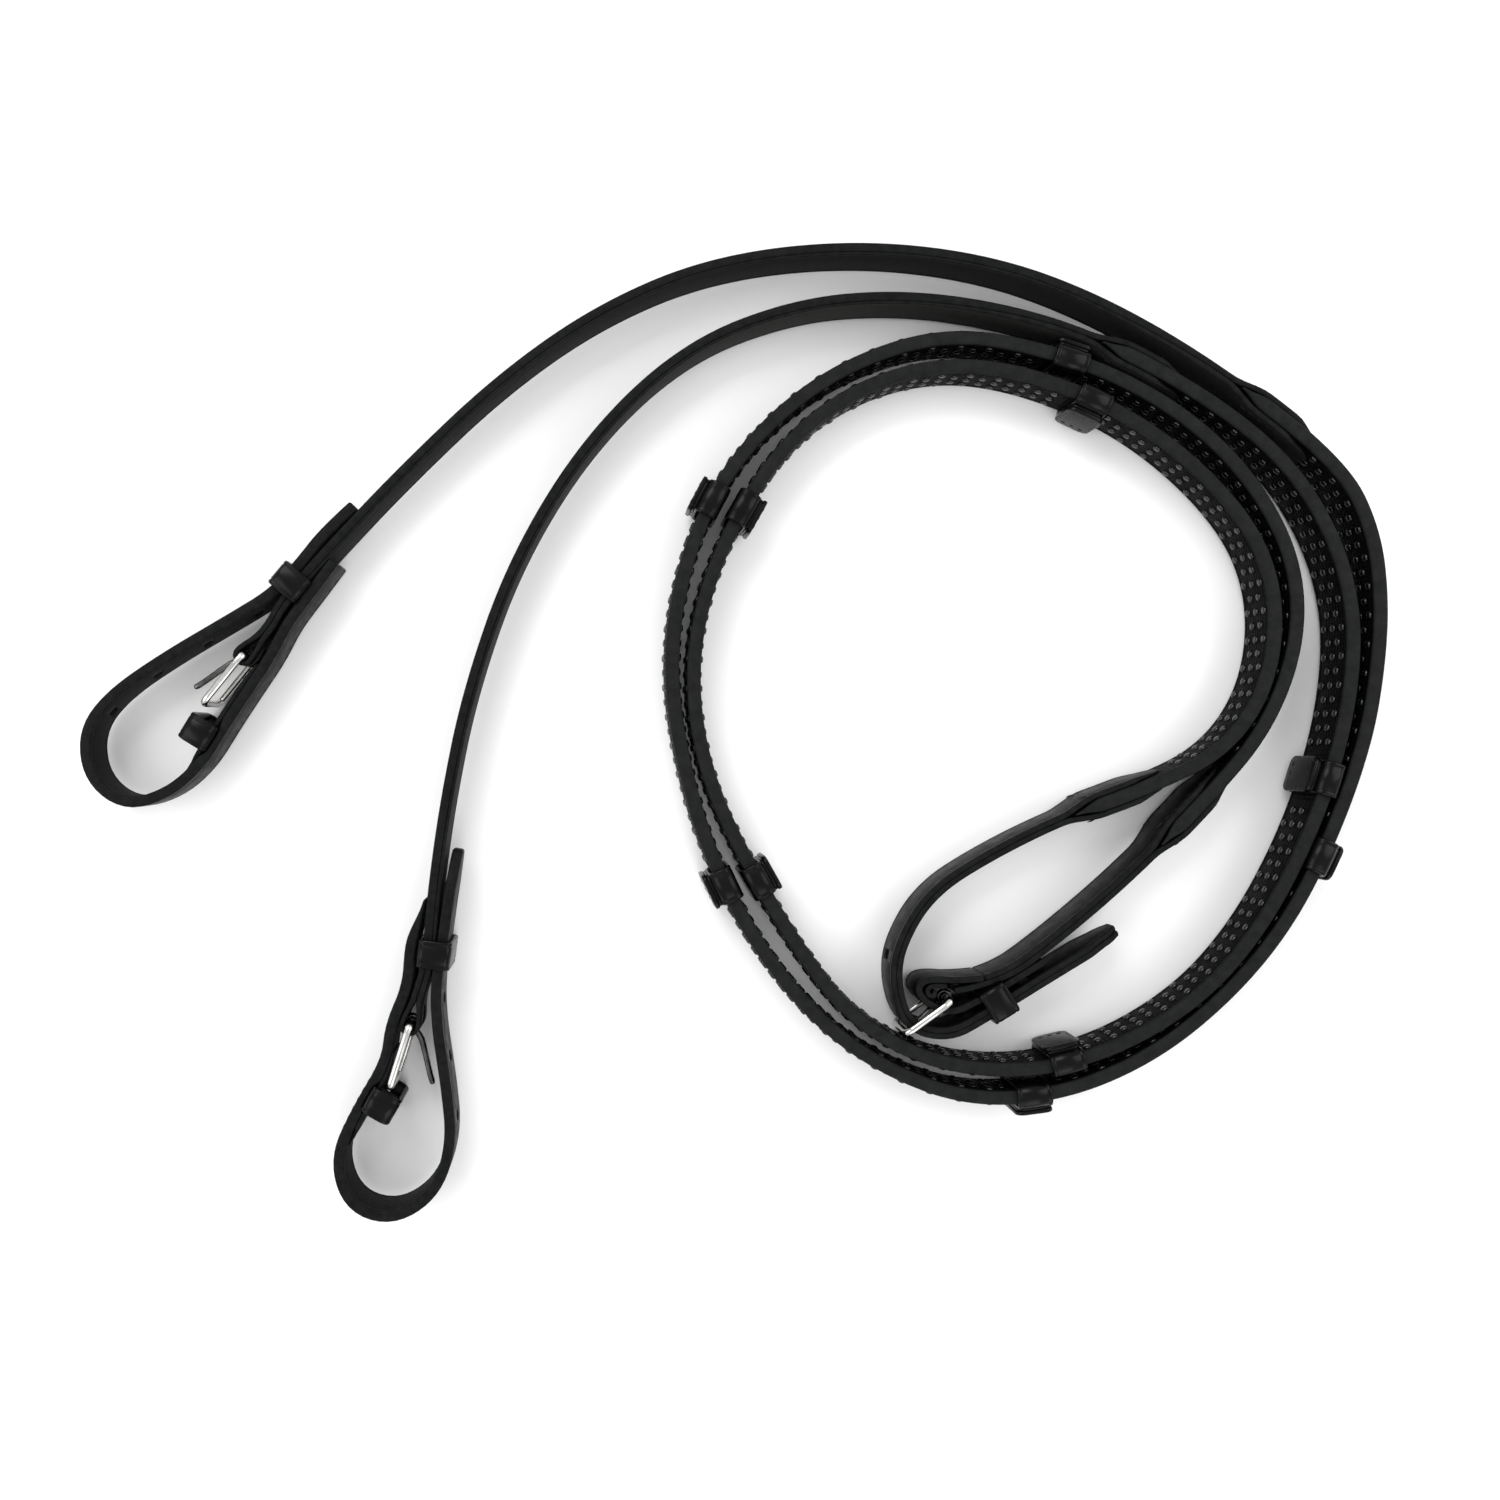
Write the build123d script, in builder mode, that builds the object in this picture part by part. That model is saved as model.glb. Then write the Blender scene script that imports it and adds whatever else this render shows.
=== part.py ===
"""A pair of leather riding reins with pimpled rubber grips, lying coiled on edge.

Two reins, each a two-ply cheek strap, a rubber-covered grip with five hand stops and a centre
strap. Each bit end has a buckle, two keepers and a billet looped back through the upper keeper.
The two centre straps are buckled together. Every strap stands on its long edge, so each one is
drawn as its outline seen from above and extruded upwards. Millimetres, +Z up, floor at Z = 0.
"""

import os
from math import cos, radians, sin, tan

from build123d import *

os.makedirs("parts", exist_ok=True)

# Heights: every strap is centred on MID_Z; keepers and stops reach down to the floor.
MID_Z = 10.6
LEATHER_WIDTH = 16.0
GRIP_WIDTH = 17.6
CORE_WIDTH = 14.0
WRAP_HEIGHT = 2 * MID_Z

# Thicknesses
PLY = 2.0
BILLET = 3.6
LINING = 1.6
GRIP = 4.6
CORE = 2.0
WRAP = 1.7
ROLL = 2.2
SKIVED_END = 0.7

# Lengths along the straps
SPLICE_RAMP = 10.0
SPLICE_LENGTH = 34.0
SKIVE_LENGTH = 12.0
STOP_LENGTH = 11.5
KEEPER_LENGTH = 9.4
FOLD_LENGTH = 10.0
STITCH_PITCH = 4.0

# Hand stops: the doubled ends stand on one face, this far from the grip's middle.
STOP_PROUD = 6.2
STOP_BAR = 1.8

# Holes and thread
HOLE_RADIUS = 1.8
THREAD = 0.5
STITCH_ROW = 5.6

# Buckles: the bar stands upright and is the hinge of both frame and tongue.
BAR_RADIUS = 1.5
RAIL_RADIUS = 1.15
RAIL_INSIDE = 8.4
RAIL_TOP = 10.3
RAIL_THICKNESS = 2.6
TONGUE_BORE = 1.55
TONGUE_EYE = 2.8
TONGUE_HEIGHT = 2.4
TONGUE_THICKNESS = 1.8
FOLD_INSIDE = 1.85
FOLD_OUTSIDE = 3.55
SLOT_HEIGHT = 3.2
KEEPER_INSIDE = 8.6

# Centre buckle, fastened: the tongue lies on the far rail's outer side.
CENTRE_BAR = (71.9, -88.8)
CENTRE_ANGLE = 215.9
CENTRE_REACH = 17.9
CENTRE_TONGUE_ANGLE = 7.3
CENTRE_KEEPER = 1437.4
CENTRE_HOLES = (1383.0, 1427.0)
CHAPE_JOINT = 1384.0

# Centrelines seen from above. Reins run from the bit buckle round the coil to the middle.
REIN_1 = [
    (-161.5, 25.5), (-153, 34), (-149, 42.5), (-134.5, 59), (-109.5, 85.5), (-77, 116.5),
    (-43.5, 140), (-6.5, 155.5), (39, 161), (83.5, 156.5), (121.5, 143), (161.5, 119.5),
    (201.5, 88), (212, 66), (214.5, 42.5), (213, 20), (209, -3), (198.5, -33), (183.5, -63),
    (163.5, -87), (138.5, -107), (109, -119.5), (78, -121.5), (50, -111), (27.5, -94.5), (8, -70),
    (-7.5, -40), (-16, -11), (-20.5, 17.5), (-18, 47), (-7.5, 77.5), (12, 103), (38.5, 122),
    (71, 132), (103.5, 126.5), (133.5, 115), (159.5, 97), (178, 74), (187, 50.5), (186, 25.5),
    (175.5, 0), (157, -21.5), (131.5, -47.5), (105, -70), (88, -82), (73.5, -84.5),
]
REIN_2 = [
    (-106.5, -97), (-104.5, -88.5), (-100.5, -77), (-99, -55.5), (-94.5, -22.5), (-87, 14),
    (-72, 57), (-47, 97.5), (-15, 127.5), (21, 141.5), (55.5, 144.5), (90, 140), (121.5, 130),
    (156.5, 111), (183, 90), (198.5, 65.5), (205.5, 40.5), (204.5, 14), (198.5, -12.5),
    (188.5, -39), (174, -65.5), (155, -87.5), (128.5, -104), (98.5, -112.5), (66.5, -109.5),
    (40.5, -95.5), (23.5, -74), (6.5, -46), (-7.5, -17.5), (-13.5, 11.5), (-11, 40.5), (0, 69),
    (18, 96.5), (42, 114.5), (72, 122.5), (102.5, 117.5), (133.5, 103.5), (158.5, 83.5),
    (175, 62), (180.5, 38), (176, 12.5), (161.5, -7), (138, -18), (110.5, -28), (86, -40),
    (65.5, -53), (55, -71), (54, -84.5), (58.5, -97.5), (72, -100.5), (83.5, -94), (105, -80.5),
    (129, -66),
]
# Billets run from the sewn end down the stack, round the bit loop and back to the tip.
BILLET_1 = [
    (-131.5, 56.5), (-140.5, 44.5), (-147, 36), (-152.5, 25), (-161, 12.5), (-168.5, 1),
    (-175.5, -10.5), (-186, -20), (-200.5, -24.5), (-212.5, -15.5), (-214.5, 0), (-206, 12),
    (-188, 24.5), (-164, 38.5), (-151.6, 46.1), (-142.8, 55.8), (-134.5, 66.5), (-125, 75),
]
BILLET_2 = [
    (-103, -55), (-106.5, -70), (-107, -83.5), (-113, -97), (-114, -108.5), (-123.5, -124),
    (-131.5, -141), (-126.5, -157), (-112, -161.5), (-98, -152.5), (-92.5, -136), (-94.5, -116.5),
    (-97.5, -98), (-98, -83.5), (-95.5, -68.5), (-93.5, -53.5), (-91, -39),
]
# The roll of leather round the centre buckle's bar, from the sewn turnback to the upper leg.
CENTRE_ROLL = [
    (103.5, -75.5), (88.7, -84.9), (80, -89.5), (72.7, -92.8), (65.7, -90.3), (62.5, -87.5),
    (61.5, -84.5), (63.5, -82), (68.5, -81.5), (74.5, -82.1), (83.5, -81.2),
]


class Route:
    """A strap centreline: straight runs joined by tangent arcs, measured along its length."""

    def __init__(self, name, points):
        radii = []
        for before, here, after in zip(points, points[1:], points[2:]):
            run_in = Vector(*here) - Vector(*before)
            run_out = Vector(*after) - Vector(*here)
            half_turn = radians(run_in.get_angle(run_out)) / 2
            radii.append(0.45 * min(run_in.length, run_out.length) / tan(half_turn))
        with BuildLine() as line:
            FilletPolyline(*points, radius=radii)
        self.edges = line.wires()[0].order_edges()
        self.starts = [0.0]
        for edge in self.edges:
            self.starts.append(self.starts[-1] + edge.length)
        self.length = self.starts[-1]
        print(f"{name}: {self.length:.1f} long, bend radii {[round(r, 1) for r in radii]}")

    def index(self, along):
        for number, start in enumerate(self.starts[1:-1]):
            if along < start - 1e-6:
                return number
        return len(self.edges) - 1

    def frame(self, along):
        """Position and unit direction at a distance along the route."""
        number = self.index(along)
        edge = self.edges[number]
        share = (along - self.starts[number]) / edge.length
        return edge @ share, (edge % share).normalized()

    def beside(self, along, offset):
        """The point at a distance along the route and an offset to its left."""
        point, direction = self.frame(along)
        return (point.X - direction.Y * offset, point.Y + direction.X * offset)

    def side(self, profile):
        """Edges through (distance, offset) pairs, parallel to the route where the offset holds."""
        found = []
        for (first, offset), (last, next_offset) in zip(profile, profile[1:]):
            if abs(offset - next_offset) > 1e-9:
                found.append(Edge.make_line(self.beside(first, offset), self.beside(last, next_offset)))
                continue
            stops = [s for s in self.starts if first + 1e-4 < s < last - 1e-4]
            for begin, end in zip([first] + stops, stops + [last]):
                middle = (begin + end) / 2
                ends = self.beside(begin, offset), self.beside(end, offset)
                if self.edges[self.index(middle)].geom_type == GeomType.LINE:
                    found.append(Edge.make_line(*ends))
                else:
                    found.append(Edge.make_three_point_arc(ends[0], self.beside(middle, offset), ends[1]))
        return found

    def plane(self, along, offset=0.0, height=MID_Z):
        """A plane whose X runs along the strap and whose Z is up."""
        x, y = self.beside(along, offset)
        direction = self.frame(along)[1]
        return Plane(origin=(x, y, height), x_dir=(direction.X, direction.Y, 0), z_dir=(0, 0, 1))

    def face_plane(self, along, offset=0.0):
        """A plane on the strap's face: X runs along the strap, Y is up."""
        x, y = self.beside(along, offset)
        direction = self.frame(along)[1]
        return Plane(
            origin=(x, y, MID_Z),
            x_dir=(direction.X, direction.Y, 0),
            z_dir=(direction.Y, -direction.X, 0),
        )


def strip(route, left, right, width, mode=Mode.ADD):
    """A strap standing on edge between a left and a right profile."""
    with BuildSketch(Plane.XY.offset(MID_Z - width / 2)) as outline:
        with BuildLine():
            add(route.side(left) + route.side(right))
            for end in (0, -1):
                if abs(left[end][1] - right[end][1]) > 1e-6:
                    Line(route.beside(*left[end]), route.beside(*right[end]))
        make_face()
    extrude(outline.sketch, amount=width, mode=mode)


def even_strip(route, first, last, left, right, width, mode=Mode.ADD):
    """A strap of even thickness between two distances along its route."""
    strip(route, [(first, left), (last, left)], [(first, right), (last, right)], width, mode)


def ply_profiles(split, tip, side):
    """Inner and outer faces of a ply that opens round the grip's end and is skived to its tip."""
    way = 1 if tip > split else -1
    full = split + way * SPLICE_RAMP
    skive = tip - way * SKIVE_LENGTH
    inner = [(split, 0), (full, side * GRIP / 2), (tip, side * GRIP / 2)]
    outer = [
        (split, side * PLY),
        (full, side * (GRIP / 2 + PLY)),
        (skive, side * (GRIP / 2 + PLY)),
        (tip, side * (GRIP / 2 + SKIVED_END)),
    ]
    return inner, outer


def cheek_ply(route, start, split, side):
    """One ply of the cheek strap, from the upper keeper to its skived tip on the grip."""
    inner, outer = ply_profiles(split, split + SPLICE_LENGTH, side)
    strip(route, [(start, 0)] + inner, [(start, side * PLY)] + outer, LEATHER_WIDTH)


def centre_ply(route, split, end, side):
    """One ply of the centre strap, from its skived tip on the grip to the centre buckle."""
    inner, outer = ply_profiles(split, split - SPLICE_LENGTH, side)
    strip(route, inner[::-1] + [(end, 0)], outer[::-1] + [(end, side * PLY)], LEATHER_WIDTH)


def grip(route, first_split, last_split):
    """The rubber grip's outline, pointed where the leather plies open at each end."""
    half = GRIP / 2
    stations = (first_split, first_split + SPLICE_RAMP, last_split - SPLICE_RAMP, last_split)
    left = list(zip(stations, (0, half, half, 0)))
    right = list(zip(stations, (0, -half, -half, 0)))
    strip(route, left, right, GRIP_WIDTH)


def core(route, first_split, last_split, mode=Mode.ADD):
    """The woven web inside the grip, which stops short of the grip's pointed ends."""
    first = first_split + 1.3 * SPLICE_RAMP
    last = last_split - 1.3 * SPLICE_RAMP
    even_strip(route, first, last, CORE / 2, -CORE / 2, CORE_WIDTH, mode)


def pointed_end(route, along, length, drop):
    """Cut a strap's corners away so that it ends in a blunt point at mid height."""
    half = LEATHER_WIDTH / 2
    with BuildSketch(route.face_plane(along)) as corners:
        for side in (1, -1):
            with BuildLine():
                Polyline(
                    (-length, side * (half + 0.5)),
                    (-length, side * half),
                    (-length * 0.35, side * (half - drop * 0.45)),
                    (0, side * (half - drop)),
                    (1, side * (half - drop)),
                    (1, side * (half + 0.5)),
                    close=True,
                )
            make_face()
    extrude(corners.sketch, amount=4, both=True, mode=Mode.SUBTRACT)


def punched_holes(route, first, count, pitch=20.0):
    """A row of buckle holes through a billet."""
    for number in range(count):
        with BuildSketch(route.face_plane(first + number * pitch)) as hole:
            Circle(HOLE_RADIUS)
        extrude(hole.sketch, amount=4, both=True, mode=Mode.SUBTRACT)


def section_plane(plane, back):
    """A plane across a strap, a distance back along it, with X to the strap's left and Y up."""
    return Plane(origin=plane.from_local_coords((-back, 0, 0)), x_dir=plane.y_dir, z_dir=plane.x_dir)


def keeper(plane, near, far, near_wall, far_wall):
    """A closed band round the straps between near and far on the plane's Y."""
    with BuildSketch(section_plane(plane, KEEPER_LENGTH / 2)) as section:
        with Locations(((far + far_wall + near - near_wall) / 2, 0)):
            RectangleRounded(far + far_wall - near + near_wall, WRAP_HEIGHT, 1.9)
        with Locations(((near + far) / 2, 0)):
            RectangleRounded(far - near, 2 * KEEPER_INSIDE, 0.5, mode=Mode.SUBTRACT)
    extrude(section.sketch, amount=KEEPER_LENGTH)


def keeper_groove(plane, near, far):
    """Room for a keeper's wall in the strap behind it."""
    with BuildSketch(plane.offset(-WRAP_HEIGHT / 2)) as groove:
        with Locations((0, (near + far) / 2)):
            Rectangle(KEEPER_LENGTH, far - near)
    extrude(groove.sketch, amount=WRAP_HEIGHT, mode=Mode.SUBTRACT)


def hand_stop(route, along, outward):
    """A leather strip wrapped round the grip, its doubled ends standing up on one face."""
    plane = route.plane(along)
    with BuildSketch(section_plane(plane, STOP_LENGTH / 2)) as wrap:
        RectangleRounded(GRIP + 2 * WRAP, WRAP_HEIGHT, 2.4)
    extrude(wrap.sketch, amount=STOP_LENGTH)
    layer = Plane(origin=plane.origin, x_dir=plane.x_dir, z_dir=plane.y_dir * outward)
    with BuildSketch(layer.offset(GRIP / 2 + WRAP - 0.3)) as neck:
        RectangleRounded(STOP_LENGTH - 4.0, LEATHER_WIDTH - 2.0, 1.5)
    extrude(neck.sketch, amount=0.8)
    with BuildSketch(layer.offset(STOP_PROUD - STOP_BAR)) as bar:
        RectangleRounded(STOP_LENGTH + 1.0, LEATHER_WIDTH + 0.6, 2.5)
    extrude(bar.sketch, amount=STOP_BAR)
    even_strip(route, along - 12, along + 12, GRIP / 2, -GRIP / 2, GRIP_WIDTH, Mode.SUBTRACT)


def fold(route, end):
    """The leather turned round an upright bar at the start of a route, doubled as far as its end."""
    with BuildSketch(Plane.XY.offset(MID_Z - LEATHER_WIDTH / 2)) as turned:
        with Locations(route.beside(0, 0)):
            Circle(FOLD_OUTSIDE)
        with BuildLine():
            Polyline(
                route.beside(0, FOLD_OUTSIDE),
                route.beside(FOLD_LENGTH, PLY),
                route.beside(FOLD_LENGTH, -PLY),
                route.beside(0, -FOLD_OUTSIDE),
                close=True,
            )
        make_face()
        with Locations(route.beside(0, 0)):
            Circle(FOLD_INSIDE, mode=Mode.SUBTRACT)
        with BuildLine():
            Polyline(
                route.beside(0, FOLD_INSIDE),
                route.beside(FOLD_LENGTH - 1.5, 0),
                route.beside(0, -FOLD_INSIDE),
                close=True,
            )
        make_face(mode=Mode.SUBTRACT)
    extrude(turned.sketch, amount=LEATHER_WIDTH)
    even_strip(route, FOLD_LENGTH, end, PLY, -PLY, LEATHER_WIDTH)


def tongue_slot(plane, before, after, across):
    """The slot at mid height that lets a buckle tongue through leather."""
    with Locations(plane * Location(((after + before) / 2, 0, 0))):
        Box(after - before, across, SLOT_HEIGHT, mode=Mode.SUBTRACT)


def buckle_plane(centre, angle):
    """A plane on the middle of a buckle's bar, with X pointing along the frame or the tongue."""
    across = Vector(cos(radians(angle)), sin(radians(angle)))
    return Plane(origin=(centre[0], centre[1], MID_Z), x_dir=across, z_dir=(0, 0, 1))


def buckle_frame(plane, reach):
    """A wire buckle: upright bar, two side rails and an upright far rail."""
    with BuildSketch(plane.offset(-RAIL_INSIDE - 0.3)) as posts:
        Circle(BAR_RADIUS)
        with Locations((reach, 0)):
            Circle(RAIL_RADIUS)
    extrude(posts.sketch, amount=2 * RAIL_INSIDE + 0.6)
    for level in (RAIL_INSIDE, -RAIL_TOP):
        with BuildSketch(plane.offset(level)) as rail:
            with Locations((reach / 2, 0)):
                SlotCenterToCenter(reach, RAIL_THICKNESS)
            Circle(BAR_RADIUS + 0.2)
        extrude(rail.sketch, amount=RAIL_TOP - RAIL_INSIDE)


def buckle_tongue(plane, reach, bend):
    """A flat tongue: an eye on the bar and an arm with a slight bend near its root."""
    half = TONGUE_THICKNESS / 2
    with BuildSketch(plane.offset(-TONGUE_HEIGHT / 2)) as blade:
        Circle(TONGUE_EYE)
        with BuildLine():
            Polyline(
                (0, half),
                (reach * 0.3, bend + half),
                (reach, half),
                (reach + 0.6, 0),
                (reach, -half),
                (reach * 0.3, bend - half),
                (0, -half),
                close=True,
            )
        make_face()
        Circle(TONGUE_BORE, mode=Mode.SUBTRACT)
    extrude(blade.sketch, amount=TONGUE_HEIGHT)


def stitches(route, first, last, face):
    """Two rows of waxed thread lying on one face of sewn leather."""
    count = int((last - first) / STITCH_PITCH)
    places = []
    for number in range(count):
        plane = route.plane(first + (number + 0.5) * STITCH_PITCH, face)
        places += [plane * Location((0, 0, row)) for row in (STITCH_ROW, -STITCH_ROW)]
    with Locations(*places):
        Box(0.6 * STITCH_PITCH, THREAD, THREAD)


def finish(sub_part, label):
    """Label a finished sub-part and write it out."""
    sub_part.part.label = label
    export_step(sub_part.part, f"parts/{label}.step")
    print(f"{label}: {sub_part.part.volume:.0f} mm3, {len(sub_part.part.solids())} solids")


def compare(label, volume, section, length):
    """Print a strap's volume beside its section times its length, which tapers and holes reduce."""
    print(f"{label}: {volume:.0f} mm3 of {section * length:.0f} mm3 for section x length")


class Rein:
    """What differs between the two reins. Distances are along the rein or its billet."""

    def __init__(self, name, route, billet, side, stations, buckle):
        self.name = name
        self.route = route
        self.billet = billet
        self.side = side
        self.stations = stations
        self.buckle = buckle


near_rein = Rein(
    "near",
    Route("near rein", REIN_1),
    Route("near billet", BILLET_1),
    side=1,
    stations=dict(
        keeper=28.8, grip=390.0, centre=1311.0, stops=(567, 695, 827, 960, 1099),
        lower_keeper=71.5, tab=(42.5, 86.0), tip_keeper=222.8,
    ),
    buckle=dict(frame=231.0, reach=20.4, tongue=210.0, tongue_reach=20.6, bend=-1.0),
)
off_rein = Rein(
    "off",
    Route("off rein", REIN_2),
    Route("off billet", BILLET_2),
    side=-1,
    stations=dict(
        keeper=24.8, grip=390.0, centre=1305.0, stops=(575, 708, 837, 968, 1103.5),
        lower_keeper=68.5, tab=(51.5, 87.0), tip_keeper=216.8,
    ),
    buckle=dict(frame=252.5, reach=21.5, tongue=288.0, tongue_reach=21.6, bend=1.0),
)
centre_roll = Route("centre roll", CENTRE_ROLL)
centre_frame_plane = buckle_plane(CENTRE_BAR, CENTRE_ANGLE)
centre_tongue_plane = buckle_plane(CENTRE_BAR, CENTRE_ANGLE + CENTRE_TONGUE_ANGLE)

for rein in (near_rein, off_rein):
    at = rein.stations
    tip_side = rein.side
    bar = rein.route.beside(0, 0)
    keeper_plane = rein.route.plane(at["keeper"])
    lower_plane = rein.billet.plane(at["lower_keeper"])
    keeper_reach = (-2.3, 6.4) if tip_side > 0 else (-6.2, 2.3)
    keeper_walls = (1.2, 1.6) if tip_side > 0 else (1.6, 1.2)
    inward = -tip_side

    # Cheek strap: two plies sewn together, which open round the end of the grip.
    with BuildPart() as cheek_outer_ply:
        cheek_ply(rein.route, at["keeper"], at["grip"], 1)
    finish(cheek_outer_ply, f"{rein.name}_cheek_outer_ply")

    with BuildPart() as cheek_inner_ply:
        cheek_ply(rein.route, at["keeper"], at["grip"], -1)
    finish(cheek_inner_ply, f"{rein.name}_cheek_inner_ply")

    cheek_volume = cheek_outer_ply.part.volume + cheek_inner_ply.part.volume
    cheek_length = at["grip"] + SPLICE_LENGTH - at["keeper"]
    compare(f"{rein.name} cheek strap", cheek_volume, 2 * PLY * LEATHER_WIDTH, cheek_length)

    # Bit chape: the end of the cheek strap turned round the buckle's bar, with a tongue slot.
    with BuildPart() as bit_chape:
        fold(rein.route, at["keeper"])
        tongue_slot(rein.route.plane(0), -4.4, 6.0, 12)
    finish(bit_chape, f"{rein.name}_bit_chape")

    # Billet: sewn along the cheek strap, looped for the bit, its tip through the upper keeper.
    with BuildPart() as billet:
        even_strip(rein.billet, 0, rein.billet.length, BILLET / 2, -BILLET / 2, LEATHER_WIDTH)
        punched_holes(rein.billet, at["tip_keeper"] - 75, 4)
        keeper_groove(keeper_plane, *sorted((inward * 1.0, inward * 3.5)))
        keeper_groove(lower_plane, *sorted((inward * 0.6, inward * 3.0)))
        if rein is off_rein:
            pointed_end(rein.billet, rein.billet.length, 12, 5)
    finish(billet, f"{rein.name}_billet")
    compare(f"{rein.name} billet", billet.part.volume, BILLET * LEATHER_WIDTH, rein.billet.length)

    with BuildPart() as keeper_tab:
        first, last = at["tab"]
        even_strip(
            rein.billet, first, last, inward * BILLET / 2, inward * (BILLET / 2 + LINING), LEATHER_WIDTH
        )
        keeper_groove(lower_plane, *sorted((inward * 0.6, inward * BILLET / 2)))
    finish(keeper_tab, f"{rein.name}_keeper_tab")

    # Keepers: the upper one holds the billet's tip, the lower one is empty.
    with BuildPart() as upper_keeper:
        keeper(keeper_plane, *keeper_reach, *keeper_walls)
    finish(upper_keeper, f"{rein.name}_upper_keeper")

    with BuildPart() as lower_keeper:
        if inward > 0:
            keeper(lower_plane, BILLET / 2, 9.8, 1.2, 1.6)
        else:
            keeper(lower_plane, -9.8, -BILLET / 2, 1.6, 1.2)
    finish(lower_keeper, f"{rein.name}_lower_keeper")

    # Bit buckle: the frame and the tongue both turn on the upright bar.
    with BuildPart() as bit_buckle_frame:
        buckle_frame(buckle_plane(bar, rein.buckle["frame"]), rein.buckle["reach"])
    finish(bit_buckle_frame, f"{rein.name}_bit_buckle_frame")

    with BuildPart() as bit_buckle_tongue:
        buckle_tongue(
            buckle_plane(bar, rein.buckle["tongue"]), rein.buckle["tongue_reach"], rein.buckle["bend"]
        )
    finish(bit_buckle_tongue, f"{rein.name}_bit_buckle_tongue")

    with BuildPart() as bit_stitches:
        stitches(rein.billet, 2, 86, -inward * (BILLET + THREAD + 0.06) / 2)
    finish(bit_stitches, f"{rein.name}_bit_stitches")

    # Grip: a pimpled rubber cover over a woven core.
    with BuildPart() as grip_cover:
        grip(rein.route, at["grip"], at["centre"])
        core(rein.route, at["grip"], at["centre"], Mode.SUBTRACT)
    finish(grip_cover, f"{rein.name}_grip_cover")

    with BuildPart() as grip_core:
        core(rein.route, at["grip"], at["centre"])
    finish(grip_core, f"{rein.name}_grip_core")

    grip_volume = grip_cover.part.volume + grip_core.part.volume
    compare(f"{rein.name} grip", grip_volume, GRIP * GRIP_WIDTH, at["centre"] - at["grip"])

    # Hand stops: five leather strips wrapped round the grip and doubled on one face.
    for number, along in enumerate(at["stops"], 1):
        with BuildPart() as stop:
            hand_stop(rein.route, along, tip_side)
        finish(stop, f"{rein.name}_hand_stop_{number}")

    # Centre strap: two plies again, one pair ending at the buckle and the other as its billet.
    with BuildPart() as centre_outer_ply:
        centre_ply(rein.route, at["centre"], rein.route.length, 1)
        if rein is near_rein:
            tongue_slot(centre_frame_plane, -6.0, 9.0, 8)
            keeper_groove(off_rein.route.plane(CENTRE_KEEPER), 4.0, 7.7)
        if rein is off_rein:
            punched_holes(rein.route, CENTRE_HOLES[0], 1)
            punched_holes(rein.route, CENTRE_HOLES[1], 2)
            tongue_slot(centre_tongue_plane, 9.0, 24.0, 5)
            pointed_end(rein.route, rein.route.length, 12, 5)
    finish(centre_outer_ply, f"{rein.name}_centre_outer_ply")

    with BuildPart() as centre_inner_ply:
        if rein is near_rein:
            centre_ply(rein.route, at["centre"], CHAPE_JOINT, -1)
        else:
            centre_ply(rein.route, at["centre"], rein.route.length, -1)
            punched_holes(rein.route, CENTRE_HOLES[0], 1)
            punched_holes(rein.route, CENTRE_HOLES[1], 2)
            tongue_slot(centre_tongue_plane, 9.0, 24.0, 5)
            pointed_end(rein.route, rein.route.length, 12, 5)
    finish(centre_inner_ply, f"{rein.name}_centre_inner_ply")

    centre_volume = centre_outer_ply.part.volume + centre_inner_ply.part.volume
    centre_length = rein.route.length + SPLICE_LENGTH - at["centre"]
    compare(f"{rein.name} centre strap", centre_volume, 2 * PLY * LEATHER_WIDTH, centre_length)

    with BuildPart() as splice_stitches:
        for split, tip in ((at["grip"], 1), (at["centre"], -1)):
            ends = sorted((split + tip * (SPLICE_RAMP + 1), split + tip * (SPLICE_LENGTH - SKIVE_LENGTH)))
            for face in (1, -1):
                stitches(rein.route, ends[0], ends[1], face * (GRIP / 2 + PLY + THREAD / 2 + 0.03))
    finish(splice_stitches, f"{rein.name}_splice_stitches")

# Centre chape: a loose roll round the centre buckle's bar, slotted for its tongue.
with BuildPart() as centre_chape:
    even_strip(centre_roll, 0, centre_roll.length, ROLL / 2, -ROLL / 2, LEATHER_WIDTH)
    tongue_slot(centre_frame_plane, -6.0, 9.0, 8)
finish(centre_chape, "centre_chape")
compare("centre roll", centre_chape.part.volume, ROLL * LEATHER_WIDTH, centre_roll.length)

with BuildPart() as centre_buckle_frame:
    buckle_frame(centre_frame_plane, CENTRE_REACH)
finish(centre_buckle_frame, "centre_buckle_frame")

with BuildPart() as centre_buckle_tongue:
    buckle_tongue(centre_tongue_plane, CENTRE_REACH + 0.2, 0)
finish(centre_buckle_tongue, "centre_buckle_tongue")

with BuildPart() as centre_keeper:
    keeper(off_rein.route.plane(CENTRE_KEEPER), -2.3, 6.7, 1.6, 1.0)
finish(centre_keeper, "centre_keeper")

with BuildPart() as centre_stitches:
    stitches(centre_roll, 1, 14, (ROLL + THREAD + 0.06) / 2)
finish(centre_stitches, "centre_stitches")
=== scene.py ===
"""A coiled pair of leather reins with pimpled rubber grips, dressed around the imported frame.

Metres, +Z up. Every strap stands on its long edge and follows its route, read from a NURBS spline.
Offsets across a strap are positive to the left of its direction of travel.
"""

import math

import bmesh
import bpy
import numpy as np
from mathutils import Matrix, Vector


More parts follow.
